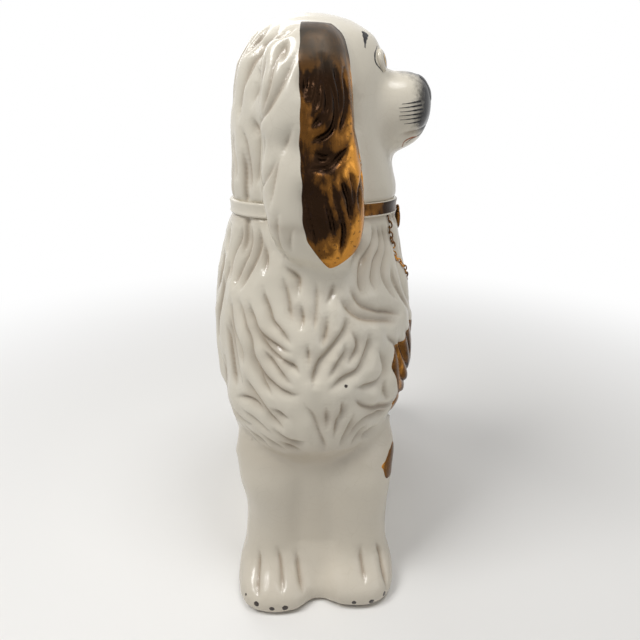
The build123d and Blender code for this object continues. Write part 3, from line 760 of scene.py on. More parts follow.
class Carving:
    """The clay skin while grooves, swells and dents are worked into it."""

    def __init__(self, mesh, sizes):
        self.sizes = sizes
        self.points = points_of(mesh)
        self.quads = quads_of(mesh)
        self.normals = points_of(mesh, "normal")
        owner = np.empty(len(self.quads), dtype=np.int64)
        mesh.polygons.foreach_get("material_index", owner)
        self.owner = owner
        self.point_owner = np.zeros(len(self.points), dtype=np.int64)
        self.point_owner[self.quads.ravel()] = np.repeat(owner, 4)
        self.tree = BVHTree.FromPolygons(self.points.tolist(), self.quads.tolist())
        self.line = np.zeros(len(self.points))
        self.round = np.zeros(len(self.points))
        self.lap = np.zeros(len(self.points))
        self.extra = np.zeros(len(self.points))
        self.ears = on_ears(self.points)
        self.flow_places = np.zeros((0, 3))
        self.flow_ways = np.zeros((0, 3))

    def seat(self, place, values):
        """The nearest place on the skin, the way out of it there and a value of the skin there."""
        spot, normal, face, gap = self.tree.find_nearest(Vector(place))
        return np.array(spot), np.array(normal), values[self.quads[face, 0]]

    def on(self, *names):
        """1 on the points of some clay solids, 0 on the rest."""
        return np.isin(self.point_owner, [CLAY_NODES.index(name) for name in names]).astype(float)

    def groove(self, places, depth=1.0, lap=0.0, where=None, width=None, lock=None):
        """Presses a groove into the skin along a line, the hair rounding down to it on both sides."""
        if len(places) < 2:
            return
        width = width or self.sizes.groove_width
        lock = lock or self.sizes.lock_width
        step = 1.2 * MM
        line = smooth_path(places, step)
        seats = [self.seat(place, self.ears) for place in line]
        line = eased(np.array([spot for spot, normal, ear in seats]), rounds=6)
        out = eased(np.array([normal for spot, normal, ear in seats]), rounds=6)
        along = np.gradient(line, axis=0)
        along /= np.linalg.norm(along, axis=1)[:, None] + 1e-12
        self.flow_places = np.vstack([self.flow_places, line[::2]])
        self.flow_ways = np.vstack([self.flow_ways, along[::2]])
        side = np.cross(out, along)

        # The points that the groove can reach, each with its nearest place on the line
        locks_wide = 3.2
        reach = lock * locks_wide
        near = np.all((self.points > line.min(0) - reach) & (self.points < line.max(0) + reach), axis=1)
        if where is not None:
            near &= where > 0.5
        near = np.flatnonzero(near)
        if not len(near):
            return
        away = self.points[near][:, None, :] - line[None, :, :]
        gap = np.einsum("ijk,ijk->ij", away, away)
        best = gap.argmin(axis=1)
        gap = np.sqrt(gap[np.arange(len(near)), best])
        facing = np.einsum("ij,ij->i", self.normals[near], out[best]) > 0.1
        near, best, gap = near[facing], best[facing], gap[facing]

        # It fades towards its ends and at the edge of where it may go
        fading = 12 * MM
        length = (len(line) - 1) * step
        strength = depth * fade(best / (len(line) - 1), min(0.5, fading / length))
        if where is not None:
            strength *= 2 * where[near] - 1
        across = np.einsum("ij,ij->i", self.points[near] - line[best], side[best])
        self.line[near] = np.maximum(self.line[near], strength * np.exp(-((gap / width) ** 2)))
        crease = strength * np.exp(-gap / lock) * np.clip(locks_wide - gap / lock, 0, 1)
        roundest = 1.3
        self.round[near] += crease * np.clip(roundest - self.round[near], 0, 1)
        raised = np.exp(-((across / (1.6 * lock)) ** 2))
        tucked = 0.5 * np.exp(-((across / (1.2 * lock)) ** 2))
        slope = np.where(across > 0, raised, tucked)
        self.lap[near] += lap * strength * np.tanh(across / width) * slope

    def flow(self, place, normal, way):
        """The way that the hair lies at a place: as the grooves near it do, or else as given."""
        nearby = 11 * MM
        given_weight = 0.6
        away = self.flow_places - place
        weight = np.exp(-np.einsum("ij,ij->i", away, away) / nearby**2)
        way = (self.flow_ways * weight[:, None]).sum(axis=0) + way * given_weight
        way = way - normal * way.dot(normal)
        return way / (np.linalg.norm(way) + 1e-9)

    def swell(self, place, radius, height, squash=(1.0, 1.0, 1.0)):
        """Raises or sinks a round area."""
        away = (self.points - np.asarray(place)) / np.asarray(squash)
        gap = np.einsum("ij,ij->i", away, away)
        self.extra += height * np.exp(-gap / radius**2)


def hits(tree, rays):
    """Where rays, each a place and a way, meet a surface."""
    found = [tree.ray_cast(Vector(place), Vector(way))[0] for place, way in rays]
    return [np.array(spot) for spot in found if spot]


def picture_hits(surface, picture_points):
    """Where lines of sight through points of the picture meet a surface that has a search tree."""
    return hits(surface.tree, [(CAMERA_PLACE, sight(across, down)) for across, down in picture_points])


def sight(across, down):
    """The line of sight through a point of the picture."""
    ahead = Vector((math.cos(CAMERA_PITCH), 0.0, -math.sin(CAMERA_PITCH)))
    above = Vector((math.sin(CAMERA_PITCH), 0.0, math.cos(CAMERA_PITCH)))
    aside = Vector((0.0, -1.0, 0.0))
    way = ahead * PICTURE_FOCUS + aside * (across - PICTURE_MIDDLE_X) + above * (PICTURE / 2 - down)
    return way.normalized()


def mirrored(places):
    """The same places on the other side of the head."""
    return [np.array((2 * HEAD_X - place[0], place[1], place[2])) for place in places]


def hair_way(place, normal):
    """The way that the hair lies where no groove has been drawn."""
    x, y, z = place
    sway = math.sin(85 * z + 60 * x + (1.3 if y > SEAM_Y else 0.0)) * math.cos(60 * x - 30 * z)
    if z > COLLAR_HIGH:
        way = np.array([0.35 + (x - HEAD_X) * 8, (y - SEAM_Y) * 9, -0.6 - (CROWN - z) * 22])
    else:
        way = np.array([0.55 if abs(normal[1]) > 0.5 else 0.1, 0.0, -1.0])
    way = way / np.linalg.norm(way)
    return way + np.cross(normal, way) * 1.0 * sway


def is_hairy(place, normal):
    """True where the body or the head carries modelled hair."""
    x, y, z = place
    face_width = 36 * MM
    haunch_radius = 36 * MM
    leg_top = (106 + (7 * math.sin(x * 170) if y > SEAM_Y + 20 * MM else 0)) * MM
    face = z > COLLAR_HIGH and y < -14 * MM + (CROWN - z) * 0.15 and abs(x - HEAD_X) < face_width
    crown = z > CROWN - 6 * MM
    foot = z < 24 * MM
    legs = z < leg_top and x < 6 * MM
    haunch = math.hypot(x - HAUNCH[0], (z - HAUNCH[2]) * 0.9) < haunch_radius and abs(normal[1]) > 0.3
    below = normal[2] < -0.75
    return not (face or crown or foot or legs or haunch or below)


def lay_locks(carving, seed, where, way_at, grows_at, spacing, depth, lap):
    """Draws evenly spaced grooves along the way of the hair, wherever none lies near."""
    random = np.random.default_rng(seed)
    most_starts = 6000
    step = 2.4 * MM
    shortest = 17 * MM
    crowding = 0.52
    usual_side = 0.75
    candidates = np.flatnonzero(where > 0.5)
    for index in random.permutation(candidates)[:most_starts]:
        start = carving.points[index]
        if nearest_gap(carving.flow_places, start) < spacing or not grows_at(start, carving.normals[index]):
            continue
        runs = []
        length = random.uniform(24, 60) * MM
        for sense in (-1, 1):
            place = start
            run = []
            for turn in range(int(length / step)):
                spot, normal, weight = carving.seat(place, where)
                if weight < 0.5 or not grows_at(spot, normal):
                    break
                if run and nearest_gap(carving.flow_places, spot) < spacing * crowding:
                    break
                run.append(spot)
                place = spot + sense * carving.flow(spot, normal, way_at(spot, normal)) * step
            runs.append(run)
        places = runs[0][:0:-1] + runs[1]
        if len(places) * step > shortest:
            side = lap if random.random() < usual_side else -lap
            carving.groove(places, depth * random.uniform(0.7, 1.0), side, where)


def nearest_gap(places, place):
    """Distance from a place to the nearest of others."""
    away = places - place
    return math.sqrt(np.einsum("ij,ij->i", away, away).min()) if len(places) else math.inf


def ear_way(place, normal):
    """Hair on an ear falls in waves."""
    sway = 0.8 * math.sin(place[2] * 150 + place[1] * 90)
    way = np.array([0.0, 0.0, -1.0])
    return way + np.cross(normal, way) * sway


def on_white_ear(place, normal):
    """True on the plain half of an ear."""
    return place[1] > SEAM_Y + 5 * MM


def carve_tail(carving):
    """Twisting locks along the tail."""
    low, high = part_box("tail")
    centre = np.array([(low[0] + high[0]) / 2 - 4 * MM, low[1], (low[2] + high[2]) / 2 - 4 * MM])
    first_angle = -95
    turn_angle = 17
    for ring in range(3):
        rays = []
        for turn in range(15):
            angle = math.radians(first_angle + turn * turn_angle)
            wave = 2.4 * math.sin(turn * 1.1 + ring)
            reach = (14 + ring * 6 + wave) * MM
            start = centre + np.array([reach * math.cos(angle), -30 * MM, reach * 1.4 * math.sin(angle)])
            rays.append((start, (0, 1, 0)))
        carving.groove(hits(carving.tree, rays), 1.0, 0.4, carving.on("tail"))


def carve_toes(carving):
    """Three toes to a paw, parted by two grooves that run over the top."""
    for places in TOE_GROOVES:
        carving.groove(picture_hits(carving, places), 0.8, 0.5, None, 1.0 * MM, 2.6 * MM)
    for name, side in (("front_hind_paw", -1), ("back_hind_paw", 1)):
        low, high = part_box(name)
        for share in (0.08, 0.2):
            x = low[0] + share * (high[0] - low[0])
            y = high[1] if side > 0 else low[1]
            rays = []
            for rise in (0.05, 0.25, 0.5, 0.75, 0.95):
                start = (x + rise * 8 * MM, y + side * 10 * MM, low[2] + rise * 22 * MM)
                rays.append((start, (0, -side, 0)))
            carving.groove(hits(carving.tree, rays), 0.9, 0.0, carving.on(name), 1.2 * MM, 3.4 * MM)


def carve_face(carving):
    """Eyes, brows, whisker pads, nostrils, stop and mouth of the turned face."""
    tip_y = NOSE_LOW[1]
    lip = (HEAD_X, tip_y + 1 * MM, NOSE_LOW[2] - 1 * MM)
    for side, name in ((-1, "right_eye"), (1, "left_eye")):
        eye = middle_of(name)
        brow = (eye[0], eye[1], eye[2] + 11 * MM)
        pad = (HEAD_X + side * 14 * MM, tip_y + 14 * MM, NOSE_LOW[2] + 7 * MM)
        nostril = (HEAD_X + side * 5.5 * MM, tip_y + 2 * MM, NOSE_HIGH[2] - 6 * MM)
        carving.swell(eye, 8 * MM, 1.6 * MM)
        carving.swell(brow, 9 * MM, 1.8 * MM, (1.3, 1.0, 0.7))
        carving.swell(pad, 10 * MM, 1.6 * MM)
        carving.swell(nostril, 2.4 * MM, -1.8 * MM)
        cheek = (HEAD_X + side * 13 * MM, tip_y + 5 * MM, NOSE_LOW[2] - 4 * MM)
        corner = (HEAD_X + side * 23 * MM, tip_y + 22 * MM, NOSE_LOW[2] - 5 * MM)
        carving.groove([lip, cheek, corner], 0.8, 0.0, None, 1.0 * MM, 2.8 * MM)
    stop = (HEAD_X, tip_y + 26 * MM, NOSE_HIGH[2] + 4 * MM)
    carving.swell(stop, 9 * MM, -1.6 * MM)
    top = (HEAD_X, tip_y, NOSE_HIGH[2] - 9 * MM)
    under_nose = (HEAD_X, tip_y, NOSE_LOW[2] + 4 * MM)
    carving.groove([top, under_nose, lip], 0.7, 0.0, None, 1.0 * MM, 2.4 * MM)


def carve_clay(carving, sizes):
    """Every groove and swell of the figure, then the skin is moved by them."""
    ears = carving.ears
    bodies = carving.on("front_shell", "back_shell") * (1 - ears)
    carve_toes(carving)
    carve_face(carving)
    for places in CHEST_GROOVES:
        spots = picture_hits(carving, places)
        middle = sum(across for across, down in places) / len(places)
        carving.groove(spots, 1.0, 1.0 if middle < PARTING else -1.0, bodies)
    for places in HEAD_GROOVES:
        carving.groove(picture_hits(carving, places), 0.75, 0.7)
    for grooves, depth in ((WHITE_EAR_GROOVES, 0.6), (LUSTRED_EAR_GROOVES, 1.1)):
        for places in grooves:
            spots = picture_hits(carving, places)
            carving.groove(spots, depth, 0.9, ears)
            carving.groove(mirrored(spots), depth, -0.9, ears)
    for swells, paired in ((EAR_SWELLS, True), (BODY_SWELLS, False)):
        for picture_place, radius, height in swells:
            spots = picture_hits(carving, [picture_place])
            if paired:
                spots += mirrored(spots)
            for spot in spots:
                carving.swell(spot, radius * MM, height * MM)
    carve_tail(carving)
    lay_locks(carving, sizes.hair_seed, bodies, hair_way, is_hairy, sizes.lock_spacing, 0.95, 0.9)
    lay_locks(carving, sizes.hair_seed, ears, ear_way, on_white_ear, EAR_LOCK_SPACING, 0.8, 0.8)
    height = carving.extra + sizes.lock_relief * (0.35 - carving.round) - sizes.groove_depth * carving.line
    height += np.clip(carving.lap, -1.2, 1.2) * sizes.overlap

    # Behind the collar the hair never rises, and it fades beside the collar and above the foot
    z = carving.points[:, 2]
    band = np.maximum(COLLAR_LOW - z, z - COLLAR_HIGH)
    band = band * (1 - ears) + 9 * MM * ears
    height = np.where(band < 0, np.minimum(height, 0), height)
    height *= np.clip(0.25 + band / (3 * MM), 0.25, 1) * np.clip(z / (5 * MM), 0, 1)
    moved = carving.points + carving.normals * height[:, None]

    # Nothing passes the solids' box, with room left for the rounding of its corners
    low, high = (np.array(corner) for corner in CAD_BOX)
    room = np.array((0.3, 0.3, 0.05)) * MM
    return np.clip(moved, low + room, high - room)


def on_ears(points):
    """1 on the skin of an ear and 0 off it, changing smoothly across the crease between them."""
    share = np.zeros(len(points))
    shells = solid_tree("front_shell", "back_shell")
    room = 6 * MM
    for name in ("right_ear", "left_ear"):
        ear = solid_tree(name)
        low, high = (np.array(corner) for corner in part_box(name))
        for index in np.flatnonzero(np.all((points > low - room) & (points < high + room), axis=1)):
            place = Vector(points[index])
            inside = shells.find_nearest(place)[3] - ear.find_nearest(place)[3]
            share[index] = min(max(0.5 + inside / SOFT_EDGE, share[index]), 1)
    return share


def ear_edge(z):
    """Where across the ear the lustre begins, at a height."""
    wander = 0.35 * MM * np.sin(z * 190) + 0.2 * MM * np.sin(z * 530 + 1)
    return SEAM_Y + 3.5 * MM - np.exp(-(z - EAR_LOW[2]) / (13 * MM)) * 9 * MM + wander


def lustre_on_ears(points, ears, tip):
    """1 on the front half of an ear, which carries the lustre down to its tip, 0 on the rest."""
    x, y, z = points.T
    inside = (ear_edge(z) - y) / SOFT_EDGE
    # The edge rises steeply behind the tip, and gently before it, nearly level on the far ear
    slope = np.where(y > tip[1], 1.5, np.where(x > HEAD_X, 0.1, 0.8))
    point = np.hypot(slope * (y - tip[1]), 2.5 * MM) - 2.5 * MM
    above = (z - tip[2] - point) / SOFT_EDGE
    return ears * np.clip(0.5 + inside, 0, 1) * np.clip(0.5 + above, 0, 1)


def sponged_black(points):
    """1 at the tip of the muzzle, fading to 0 along it."""
    y, z = points.T[1:]
    tip = np.clip((NOSE_LOW[1] + 15 * MM - y) / (13 * MM), 0, 1)
    bridge = np.clip((NOSE_LOW[1] + 26 * MM - y) / (20 * MM), 0, 1)
    bridge *= np.clip((z - NOSE_HIGH[2] + 8 * MM) / (8 * MM), 0, 1)
    chin = np.clip((z - NOSE_LOW[2] + 9 * MM) / (8 * MM), 0, 1)
    return np.maximum(tip, bridge) * chin * (z > COLLAR_HIGH)


class Skin:
    """The finished clay surface, on which coats and strokes are laid."""

    def __init__(self, carving, points):
        self.points = points
        self.quads = carving.quads
        self.owner = carving.owner
        mesh = mesh_from("skin", points, carving.quads)
        self.normals = points_of(mesh, "normal")
        bpy.data.meshes.remove(mesh)
        self.tree = BVHTree.FromPolygons(points.tolist(), carving.quads.tolist())

        # What the finishes need to know at each point, from 0 to about 1
        y, z = points.T[1:]
        # Painted shade, partly glaze that pools: how deep a point lies in a groove or hollow, which darkens
        # its glaze
        self.hollow = np.clip(0.5 * carving.line + 0.85 * carving.round - 0.22, 0, 1)
        self.mark = np.zeros(len(points))
        for picture_place, radius in MARKS:
            for spot in picture_hits(carving, [picture_place]):
                gap = np.linalg.norm(points - spot, axis=1) / (radius * MM)
                self.mark = np.maximum(self.mark, np.clip(1.5 - gap, 0, 1))
        # Painted shade with some pooling glaze under the chest hair, below the collar, between the forelegs
        # and towards the foot
        self.shade_and_pooling = shade_and_pooling_at(points)
        tip = picture_hits(carving, [EAR_TIP])[0]
        self.lustre = lustre_on_ears(points, carving.ears, tip)
        edge = ear_edge(z)
        at_tip = 0.8 * np.exp(-(((z - tip[2]) / (18 * MM)) ** 2))
        self.thin = np.clip((edge - y) / (edge - EAR_LOW[1]), 0, 1) ** 1.5
        self.thin = np.clip(self.thin + at_tip, 0, 1.2)
        self.sponge = sponged_black(points)
        self.foot = np.clip((-self.normals[:, 2] - 0.6) * 4, 0, 1) * (z < 1.5 * MM)

    def seat(self, place):
        """The nearest place on the surface and the way out of it there."""
        spot, normal, face, gap = self.tree.find_nearest(Vector(place))
        return np.array(spot), np.array(normal)

    def piece(self, name, faces, material):
        """A piece of the surface, carrying what its finish needs to know."""
        used, local = np.unique(faces, return_inverse=True)
        mesh = mesh_from(name, self.points[used], local.reshape(faces.shape))
        for field in ("hollow", "shade_and_pooling", "lustre", "thin", "sponge", "foot", "mark"):
            store(mesh, field, getattr(self, field)[used])
        mesh.normals_split_custom_set_from_vertices(self.normals[used].tolist())
        return make_object(name, mesh, material)

    def coat(self, name, inside, material, thickness=0.18 * MM):
        """A thin coat over the part where a distance is above zero, its edge cut clean."""
        rounding = 0.8 * MM
        sunk = 0.03 * MM
        near = inside[self.quads] > 0
        lift = thickness * np.clip(inside / rounding, 0, 1)
        points = list(self.points + self.normals * lift[:, None])
        faces = [list(quad) for quad in self.quads[near.all(axis=1)]]
        cuts = {}
        for quad in self.quads[near.any(axis=1) & ~near.all(axis=1)]:
            loop = []
            for a, b in zip(quad, np.roll(quad, -1)):
                if inside[a] > 0:
                    loop.append(a)
                if (inside[a] > 0) != (inside[b] > 0):
                    key = (min(a, b), max(a, b))
                    if key not in cuts:
                        share = inside[a] / (inside[a] - inside[b])
                        cuts[key] = len(points)
                        edge = self.points[a] + (self.points[b] - self.points[a]) * share
                        points.append(edge - self.normals[a] * sunk)
                    loop.append(cuts[key])
            if len(loop) > 2:
                faces.append(loop)
        used = sorted({corner for face in faces for corner in face})
        local = {corner: index for index, corner in enumerate(used)}
        mesh = bpy.data.meshes.new(name)
        mesh.from_pydata([points[corner].tolist() for corner in used], [],
                         [[local[corner] for corner in face] for face in faces])
        mesh.shade_smooth()
        return make_object(name, mesh, material)

    def stroke(self, name, lines, width, material, blunt=0.0, rise=0.16 * MM):
        """Brush strokes on the surface, each a tapering ribbon along a line, blunt at its end if asked."""
        points = []
        faces = []
        for places in lines:
            if len(places) < 2:
                continue
            line = smooth_path(places, 0.7 * MM)
            seats = [self.seat(place) for place in line]
            line = np.array([spot for spot, normal in seats])
            out = np.array([normal for spot, normal in seats])
            along = np.gradient(line, axis=0)
            side = np.cross(out, along)
            side /= np.linalg.norm(side, axis=1)[:, None] + 1e-12
            share = np.linspace(0, 1, len(line))
            taper = fade(share * (1 - blunt / 2), 0.45)
            breadth = width * (0.2 + 0.8 * taper) * (1 + 0.12 * np.sin(share * 23))
            base = len(points)
            # Lanes across the ribbon: share of its half width and of its height
            for lane, lift in ((-1.0, -0.15), (-0.6, 0.75), (0.0, 1.0), (0.6, 0.75), (1.0, -0.15)):
                points += list(line + side * (breadth * lane)[:, None] + out * rise * lift)
            count = len(line)
            for lane in range(4):
                for row in range(count - 1):
                    a = base + lane * count + row
                    faces.append((a, a + 1, a + count + 1, a + count))
        return make_object(name, mesh_from(name, points, faces), material)


def clay_pieces(skin, materials):
    """Cuts the modelled skin into one piece for each clay solid but the base slab, the shells parted at the
    collar into body and head, their edges meeting point to point.
    """
    collar = (COLLAR_LOW + COLLAR_HIGH) / 2
    head = skin.points[:, 2][skin.quads].mean(axis=1) > collar
    for index, name in enumerate(CLAY_NODES):
        own = skin.owner == index
        if name == "base_slab":
            continue
        shares = [(name, own)]
        if name.endswith("shell"):
            shares = [(name, own & ~head), (name.replace("shell", "head"), own & head)]
        for piece_name, mask in shares:
            material = materials.get(piece_name, materials["clay"])
            piece = skin.piece(f"clay_{piece_name}", skin.quads[mask], material)
            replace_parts(piece, name)


def shade_and_pooling_at(points):
    """Painted shade, with some brown glaze pooling: under the hair of the chest, just below the collar,
    round the paws, above the foot and between the forelegs.
    """
    x, y, z = points.T
    middle = np.exp(-(((y - SEAM_Y) / (34 * MM)) ** 2))
    # Painted shade: under the fringe of the chest hair, just under the collar, darker towards the foot and
    # on the web between the forelegs
    fringe = np.exp(-(((z - 101 * MM) / (13 * MM)) ** 2)) * np.clip((-x - 20 * MM) / (50 * MM), 0, 1)
    neck = np.exp(-(((z - COLLAR_LOW + 1 * MM) / (2.5 * MM)) ** 2)) * 0.5
    foot = np.exp(-((z / (34 * MM)) ** 2)) * 0.34
    web = np.exp(-(((z - 56 * MM) / (46 * MM)) ** 2)) * (0.20 + 0.20 * middle) * (x < -50 * MM)
    return np.clip(0.62 * fringe * (0.45 + 0.55 * middle) + neck + foot + web, 0, 1)


# Small pieces


def patch_reach(points, centre, radius, stretch, phase):
    """Distance inside the wavy edge of a brushed patch on the front, seen straight on."""
    along = points[:, 0] - centre[0]
    up = (points[:, 2] - centre[1]) * stretch
    angle = np.arctan2(up, along)
    # Lobes of the edge: how many go round, their share of the radius and their turn
    lobes = ((2, 0.06, phase * 2), (3, 0.08, phase), (5, 0.05, 0.0), (8, 0.03, phase * 3), (13, 0.012, 1.0))
    edge = radius * (0.97 + sum(share * np.sin(count * angle + turn) for count, share, turn in lobes))
    inside = edge - np.hypot(along, up)
    return np.where(points[:, 1] < SEAM_Y - 8 * MM, inside, -1.0)


def ring_faces(rings, turns):
    """Faces between rings of points that follow one another."""
    faces = []
    for ring in range(rings - 1):
        for turn in range(turns):
            a = ring * turns + turn
            b = ring * turns + (turn + 1) % turns
            faces.append((a, b, b + turns, a + turns))
    return faces


def lathe(rings, seat, out, up, turns=36):
    """Points and faces of a round form: rings of radius and height about a way out of its seat."""
    side = np.cross(up, out)
    points = []
    for radius, height in rings:
        for turn in range(turns):
            angle = 2 * math.pi * turn / turns
            points.append(seat + out * height + (side * math.cos(angle) + up * math.sin(angle)) * radius)
    faces = ring_faces(len(rings), turns)
    for ring in (0, len(rings) - 1):
        points.append(seat + out * rings[ring][1])
        for turn in range(turns):
            a, b = ring * turns + turn, ring * turns + (turn + 1) % turns
            faces.append((len(points) - 1, a, b) if ring else (len(points) - 1, b, a))
    return points, faces


def tube(line, radius, sides=8):
    """Points and faces of a round bar along a line, closed at both ends."""
    line = np.asarray(line)
    along = np.gradient(line, axis=0)
    along /= np.linalg.norm(along, axis=1)[:, None]
    first = np.cross(along, (0.0, 1.0, 0.001))
    first /= np.linalg.norm(first, axis=1)[:, None]
    second = np.cross(along, first)
    points = []
    for place, one, two in zip(line, first, second):
        for turn in range(sides):
            angle = 2 * math.pi * turn / sides
            points.append(place + (one * math.cos(angle) + two * math.sin(angle)) * radius)
    faces = ring_faces(len(line), sides)
    faces.append(tuple(range(sides))[::-1])
    faces.append(tuple(range(len(points) - sides, len(points))))
    return points, faces


def outward(mesh):
    """A mesh with its doubled points merged and its faces turned outward."""
    work = bmesh.new()
    work.from_mesh(mesh)
    bmesh.ops.remove_doubles(work, verts=work.verts, dist=1e-6)
    bmesh.ops.recalc_face_normals(work, faces=work.faces)
    work.to_mesh(mesh)
    work.free()
    mesh.shade_smooth()
    return mesh


def mesh_of(name, *forms):
    """One mesh from several forms of points and faces."""
    points = []
    faces = []
    for form_points, form_faces in forms:
        base = len(points)
        points += [tuple(float(value) for value in point) for point in form_points]
        faces += [tuple(int(corner) + base for corner in face) for face in form_faces]
    mesh = bpy.data.meshes.new(name)
    mesh.from_pydata(points, [], faces)
    return outward(mesh)


def collar_band(tree, first, last, steps):
    """A rounded band round half of the neck, as far out as the solid collar."""
    middle = Vector((HEAD_X, SEAM_Y, 0.0))
    clear = 0.2
    height = (COLLAR_LOW + COLLAR_HIGH) / 2
    points = []
    for step in range(steps + 1):
        angle = first + (last - first) * step / steps
        way = Vector((math.cos(angle), math.sin(angle), 0.0))
        start = middle + way * clear + Vector((0, 0, height))
        spot = tree.ray_cast(start, -way)[0]
        reach = (spot - middle).dot(way)
        for out, share in COLLAR_SECTION:
            z = COLLAR_LOW + (COLLAR_HIGH - COLLAR_LOW) * share
            place = middle + way * (reach + out * MM)
            points.append((place.x, place.y, z))
    count = len(COLLAR_SECTION)
    faces = ring_faces(steps + 1, count)
    faces.append(tuple(range(count)))
    faces.append(tuple(range(steps * count, (steps + 1) * count))[::-1])
    return points, faces


def link_tree(material):
    """Geometry nodes that lay chain links along a path, each facing out of the surface."""
    tree = bpy.data.node_groups.new("chain_links", "GeometryNodeTree")
    face = tree.interface
    face.new_socket("Geometry", in_out="INPUT", socket_type="NodeSocketGeometry")
    sockets = {}
    for name in ("Link Pitch", "Link Length", "Link Width", "Wire"):
        sockets[name] = face.new_socket(name, in_out="INPUT", socket_type="NodeSocketFloat").identifier
    face.new_socket("Geometry", in_out="OUTPUT", socket_type="NodeSocketGeometry")

    graph = Graph(tree)
    circle = "GeometryNodeCurvePrimitiveCircle"
    align = "FunctionNodeAlignRotationToVector"
    path, pitch, link_length, link_width, wire_radius = graph.new("NodeGroupInput")[:5]
    line = graph.new("GeometryNodeMeshToCurve", Mesh=path)[0]
    spaced = graph.new("GeometryNodeResampleCurve", {"mode": "LENGTH"}, Curve=line, Length=pitch)[0]
    ring = graph.new(circle, {"mode": "RADIUS"}, Resolution=14, Radius=1.0)[0]
    scale = graph.new("ShaderNodeCombineXYZ", X=link_length, Y=link_width, Z=1.0)[0]
    oval = graph.new("GeometryNodeTransform", Geometry=ring, Scale=scale)[0]
    wire = graph.new(circle, {"mode": "RADIUS"}, Resolution=6, Radius=wire_radius)[0]
    link = graph.new("GeometryNodeCurveToMesh", Curve=oval, Profile_Curve=wire)[0]
    out = graph.new("GeometryNodeInputNamedAttribute", {"data_type": "FLOAT_VECTOR"}, Name="out")[0]
    along = graph.new("GeometryNodeInputTangent")[0]
    upright = graph.new(align, {"axis": "Z"}, Vector=out)[0]
    turned = graph.new(align, {"axis": "X", "pivot_axis": "Z"}, Rotation=upright, Vector=along)[0]

    # Every other link is rolled about the path, so that the links lean into each other
    index = graph.new("GeometryNodeInputIndex")[0]
    tilt = index.math("PINGPONG", index, 1.0) * 1.2 - 0.25
    roll = graph.new("FunctionNodeAxisAngleToRotation", Axis=(1.0, 0.0, 0.0), Angle=tilt)[0]
    local = {"rotation_space": "LOCAL"}
    facing = graph.new("FunctionNodeRotateRotation", local, Rotation=turned, Rotate_By=roll)[0]
    laid = graph.new("GeometryNodeInstanceOnPoints", Points=spaced, Instance=link, Rotation=facing)[0]
    real = graph.new("GeometryNodeRealizeInstances", Geometry=laid)[0]
    shiny = graph.new("GeometryNodeSetMaterial", Geometry=real, Material=material)[0]
    graph.new("NodeGroupOutput", Geometry=shiny)
    return tree, sockets


# Operators


STORE = {}


def finished_skin():
    """The modelled clay surface, which the clay step leaves for the others."""
    if "skin" not in STORE:
        raise RuntimeError("Run Glazed Clay first")
    return STORE["skin"]


class SPANIEL_OT_clay(bpy.types.Operator):
    """Models the body, head, ears, legs, paws and tail in glazed clay"""

    bl_idname = "spaniel.clay"
    bl_label = "Glazed Clay"

    def execute(self, context):
        sizes = context.scene.spaniel_sizes
        colours = context.scene.spaniel_colours
        carving = Carving(clay_blank(sizes.grain), sizes)
        skin = Skin(carving, carve_clay(carving, sizes))
        materials = {
            "clay": clay_finish("cream_glaze", colours, lustred=True),
            "front_head": clay_finish("face_glaze", colours, lustred=True, sponged=True),
        }
        clay_pieces(skin, materials)
        STORE["skin"] = skin
        return {"FINISHED"}


class SPANIEL_OT_lustre(bpy.types.Operator):
    """Brushes the lustre patches over the chest, shoulder, haunch and foreleg"""

    bl_idname = "spaniel.lustre"
    bl_label = "Lustre Patches"

    def execute(self, context):
        skin = finished_skin()
        finish = lustre_finish("copper_lustre", context.scene.spaniel_colours)
        for phase, name in enumerate(PATCHES):
            low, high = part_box(name)
            # The chest's patch sits a little further out and up, as the picture shows it
            shift = (-2 * MM, 2 * MM) if name == "chest_lustre" else (0.0, 0.0)
            centre = ((low[0] + high[0]) / 2 + shift[0], (low[2] + high[2]) / 2 + shift[1])
            stretch = (high[0] - low[0]) / (high[2] - low[2])
            # A little over half the box, because the mean edge lies a little inside this radius
            radius = (high[0] - low[0]) / 1.96
            inside = patch_reach(skin.points, centre, radius, stretch, phase)
            piece = skin.coat(f"coat_{name}", inside, finish)
            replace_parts(piece, name)
        return {"FINISHED"}


class SPANIEL_OT_collar(bpy.types.Operator):
    """Makes the lustred front and white back of the collar, and the padlock"""

    bl_idname = "spaniel.collar"
    bl_label = "Collar and Padlock"

    def execute(self, context):
        colours = context.scene.spaniel_colours
        tree = solid_tree("collar_front", "collar_back")
        copper = lustre_finish("padlock_lustre", colours)
        white = clay_finish("collar_glaze", colours)
        painted = clay_finish("collar_lustre", colours, lustred=True)
        steps = 96
        mesh = mesh_of("collar_lustred", collar_band(tree, -math.pi, 0.0, steps))
        # The lustre leaves both rims of the collar white
        share = (points_of(mesh)[:, 2] - COLLAR_LOW) / (COLLAR_HIGH - COLLAR_LOW)
        store(mesh, "lustre", (share > 0.15) & (share < 0.95))
        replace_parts(make_object("collar_lustred", mesh, painted), "collar_front")
        back = collar_band(tree, 0.0, math.pi, steps)
        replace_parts(make_object("collar_white", mesh_of("collar_white", back), white), "collar_back")

        # The padlock is a turned disc with a shackle that stands over it
        low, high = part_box("padlock")
        radius = (high[0] - low[0]) / 2
        seat = np.array([(low[0] + high[0]) / 2, high[1], low[2] + radius])
        deep = high[1] - low[1]
        rings = [(radius * share, deep * height) for share, height in PADLOCK_RINGS]
        out, up = np.array((0.0, -1.0, 0.0)), np.array((0.0, 0.0, 1.0))
        disc = lathe(rings, seat, out, up)
        bow = radius * 0.52
        rise = radius * 0.78
        arc = []
        for angle in np.linspace(0, math.pi, 17):
            bend = np.array((bow * math.cos(angle), 0, bow * math.sin(angle) + rise))
            arc.append(seat + out * deep * 0.45 + bend)
        shackle = tube(arc, radius * 0.15)
        padlock = mesh_of("padlock_lustred", disc, shackle)
        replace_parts(make_object("padlock_lustred", padlock, copper), "padlock")
        return {"FINISHED"}


